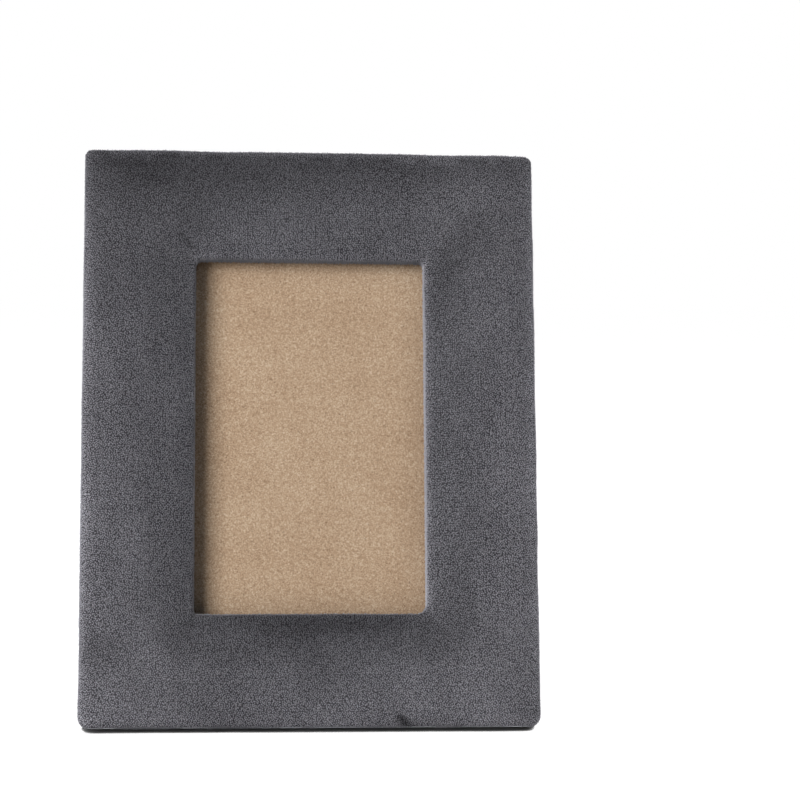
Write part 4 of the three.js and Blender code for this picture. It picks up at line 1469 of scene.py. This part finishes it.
@dataclass
class Studio:
    """A white table, plain soft light and the camera. Lengths are in metres and angles in degrees."""

    target: Triple = (0.03599, 0.020, 0.12793)
    azimuth: float = -5.29
    elevation: float = 3.782
    roll: float = 0.756
    distance: float = 0.978
    lens: float = 110.0
    sensor: float = 36.0
    fill: float = 0.042
    lit_point: Triple = (0.0, 0.03, 0.11)
    table_half: float = 6.0
    lamps: tuple[SoftBox, ...] = (
        SoftBox("key soft box", azimuth=-42.0, elevation=15.0, distance=2.6, side=1.5, power=81.6),
        SoftBox("back soft box", azimuth=150.0, elevation=40.0, distance=1.6, side=0.9, power=3.0),
        SoftBox("rim soft box", azimuth=120.0, elevation=28.0, distance=1.6, side=1.2, power=30.0),
    )

    @staticmethod
    def direction(azimuth: float, elevation: float) -> Vector:
        """Gives the direction from the frame towards a place round it."""
        turn, rise = math.radians(azimuth), math.radians(elevation)
        return Vector((math.sin(turn) * math.cos(rise), -math.cos(turn) * math.cos(rise), math.sin(rise)))

    def place_camera(self) -> None:
        """Makes the camera at the photograph's viewing angle."""
        back = self.direction(self.azimuth, self.elevation)
        level = Vector((0, 0, 1)).cross(back).normalized()
        above = back.cross(level)
        turn = math.radians(self.roll)
        right = level * math.cos(turn) + above * math.sin(turn)
        up = above * math.cos(turn) - level * math.sin(turn)
        data = bpy.data.cameras.new("camera")
        data.lens = self.lens
        data.sensor_width = self.sensor
        camera = add_object("camera", data)
        place = Vector(self.target) + back * self.distance
        camera.matrix_world = Matrix.Translation(place) @ Matrix((right, up, back)).transposed().to_4x4()
        bpy.context.scene.camera = camera

    def hang(self, box: SoftBox) -> None:
        """Hangs one soft box.

        Args:
            box: The soft box.
        """
        data = bpy.data.lights.new(box.name, "AREA")
        data.shape = "SQUARE"
        data.size = box.side
        data.energy = box.power
        lamp = add_object(box.name, data)
        direction = self.direction(box.azimuth, box.elevation)
        lamp.location = Vector(self.lit_point) + direction * box.distance
        lamp.rotation_euler = direction.to_track_quat("Z", "Y").to_euler()

    def light_world(self) -> None:
        """Makes the white surroundings and their even light."""
        world = bpy.data.worlds.new("white studio")
        world.use_nodes = True
        world.node_tree.nodes.clear()
        add = partial(add_node, world.node_tree)
        strength = add(MAP_RANGE, {"Value": seen(add), "To Min": self.fill})
        light = add("ShaderNodeBackground", {"Color": linear("#ffffff"), "Strength": strength})
        add("ShaderNodeOutputWorld", {"Surface": light})
        bpy.context.scene.world = world

    def lay_floor(self) -> None:
        """Lays the table top under the frame."""
        half = self.table_half
        mesh = bpy.data.meshes.new("table_top")
        corners = [(-half, -half, 0.0), (half, -half, 0.0), (half, half, 0.0), (-half, half, 0.0)]
        mesh.from_pydata(corners, [], [(0, 1, 2, 3)])
        mesh.materials.append(TableFinish().material())
        floor = add_object("table_top", mesh)

    def build(self) -> None:
        """Sets up the table, the lights and the camera."""
        self.light_world()
        self.lay_floor()
        for box in self.lamps:
            self.hang(box)
        self.place_camera()
        bpy.context.scene.view_settings.view_transform = "Standard"


def main() -> None:
    """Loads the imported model, dresses it, adds the velvet and its pile, and sets up the studio."""
    logging.basicConfig(level=logging.INFO, format="%(name)s: %(message)s")
    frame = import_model()
    Studio().build()
    JoineryAndGlazing(frame["nodes"]).dress()
    axes = LeaningAxes()
    wrap = VelvetWrap(axes, VelvetFinish("grey polyester velvet ground", axes.up(), tufted=False))
    velvet = wrap.build()
    foam = FoamPadding(wrap, FoamFinish()).build()
    pile_material = VelvetFinish("grey polyester velvet pile", axes.up(), tufted=True).material()
    pieces = [
        VelvetPile(axes, PileRegion.FRONT).build(velvet, pile_material),
        VelvetPile(axes, PileRegion.SIDES, length=0.54).build(velvet, pile_material),
    ]
    for piece in (velvet, *pieces):
        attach(piece, Body.FRAME.value)
        log.info("%s rides on %s", piece.name, Body.FRAME.value)
    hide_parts("velvet_cover")
    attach(foam, Body.FRAME.value)
    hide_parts("foam_pad")
    log.info("%s rides on %s", foam.name, Body.FRAME.value)


if __name__ == "__main__":
    main()
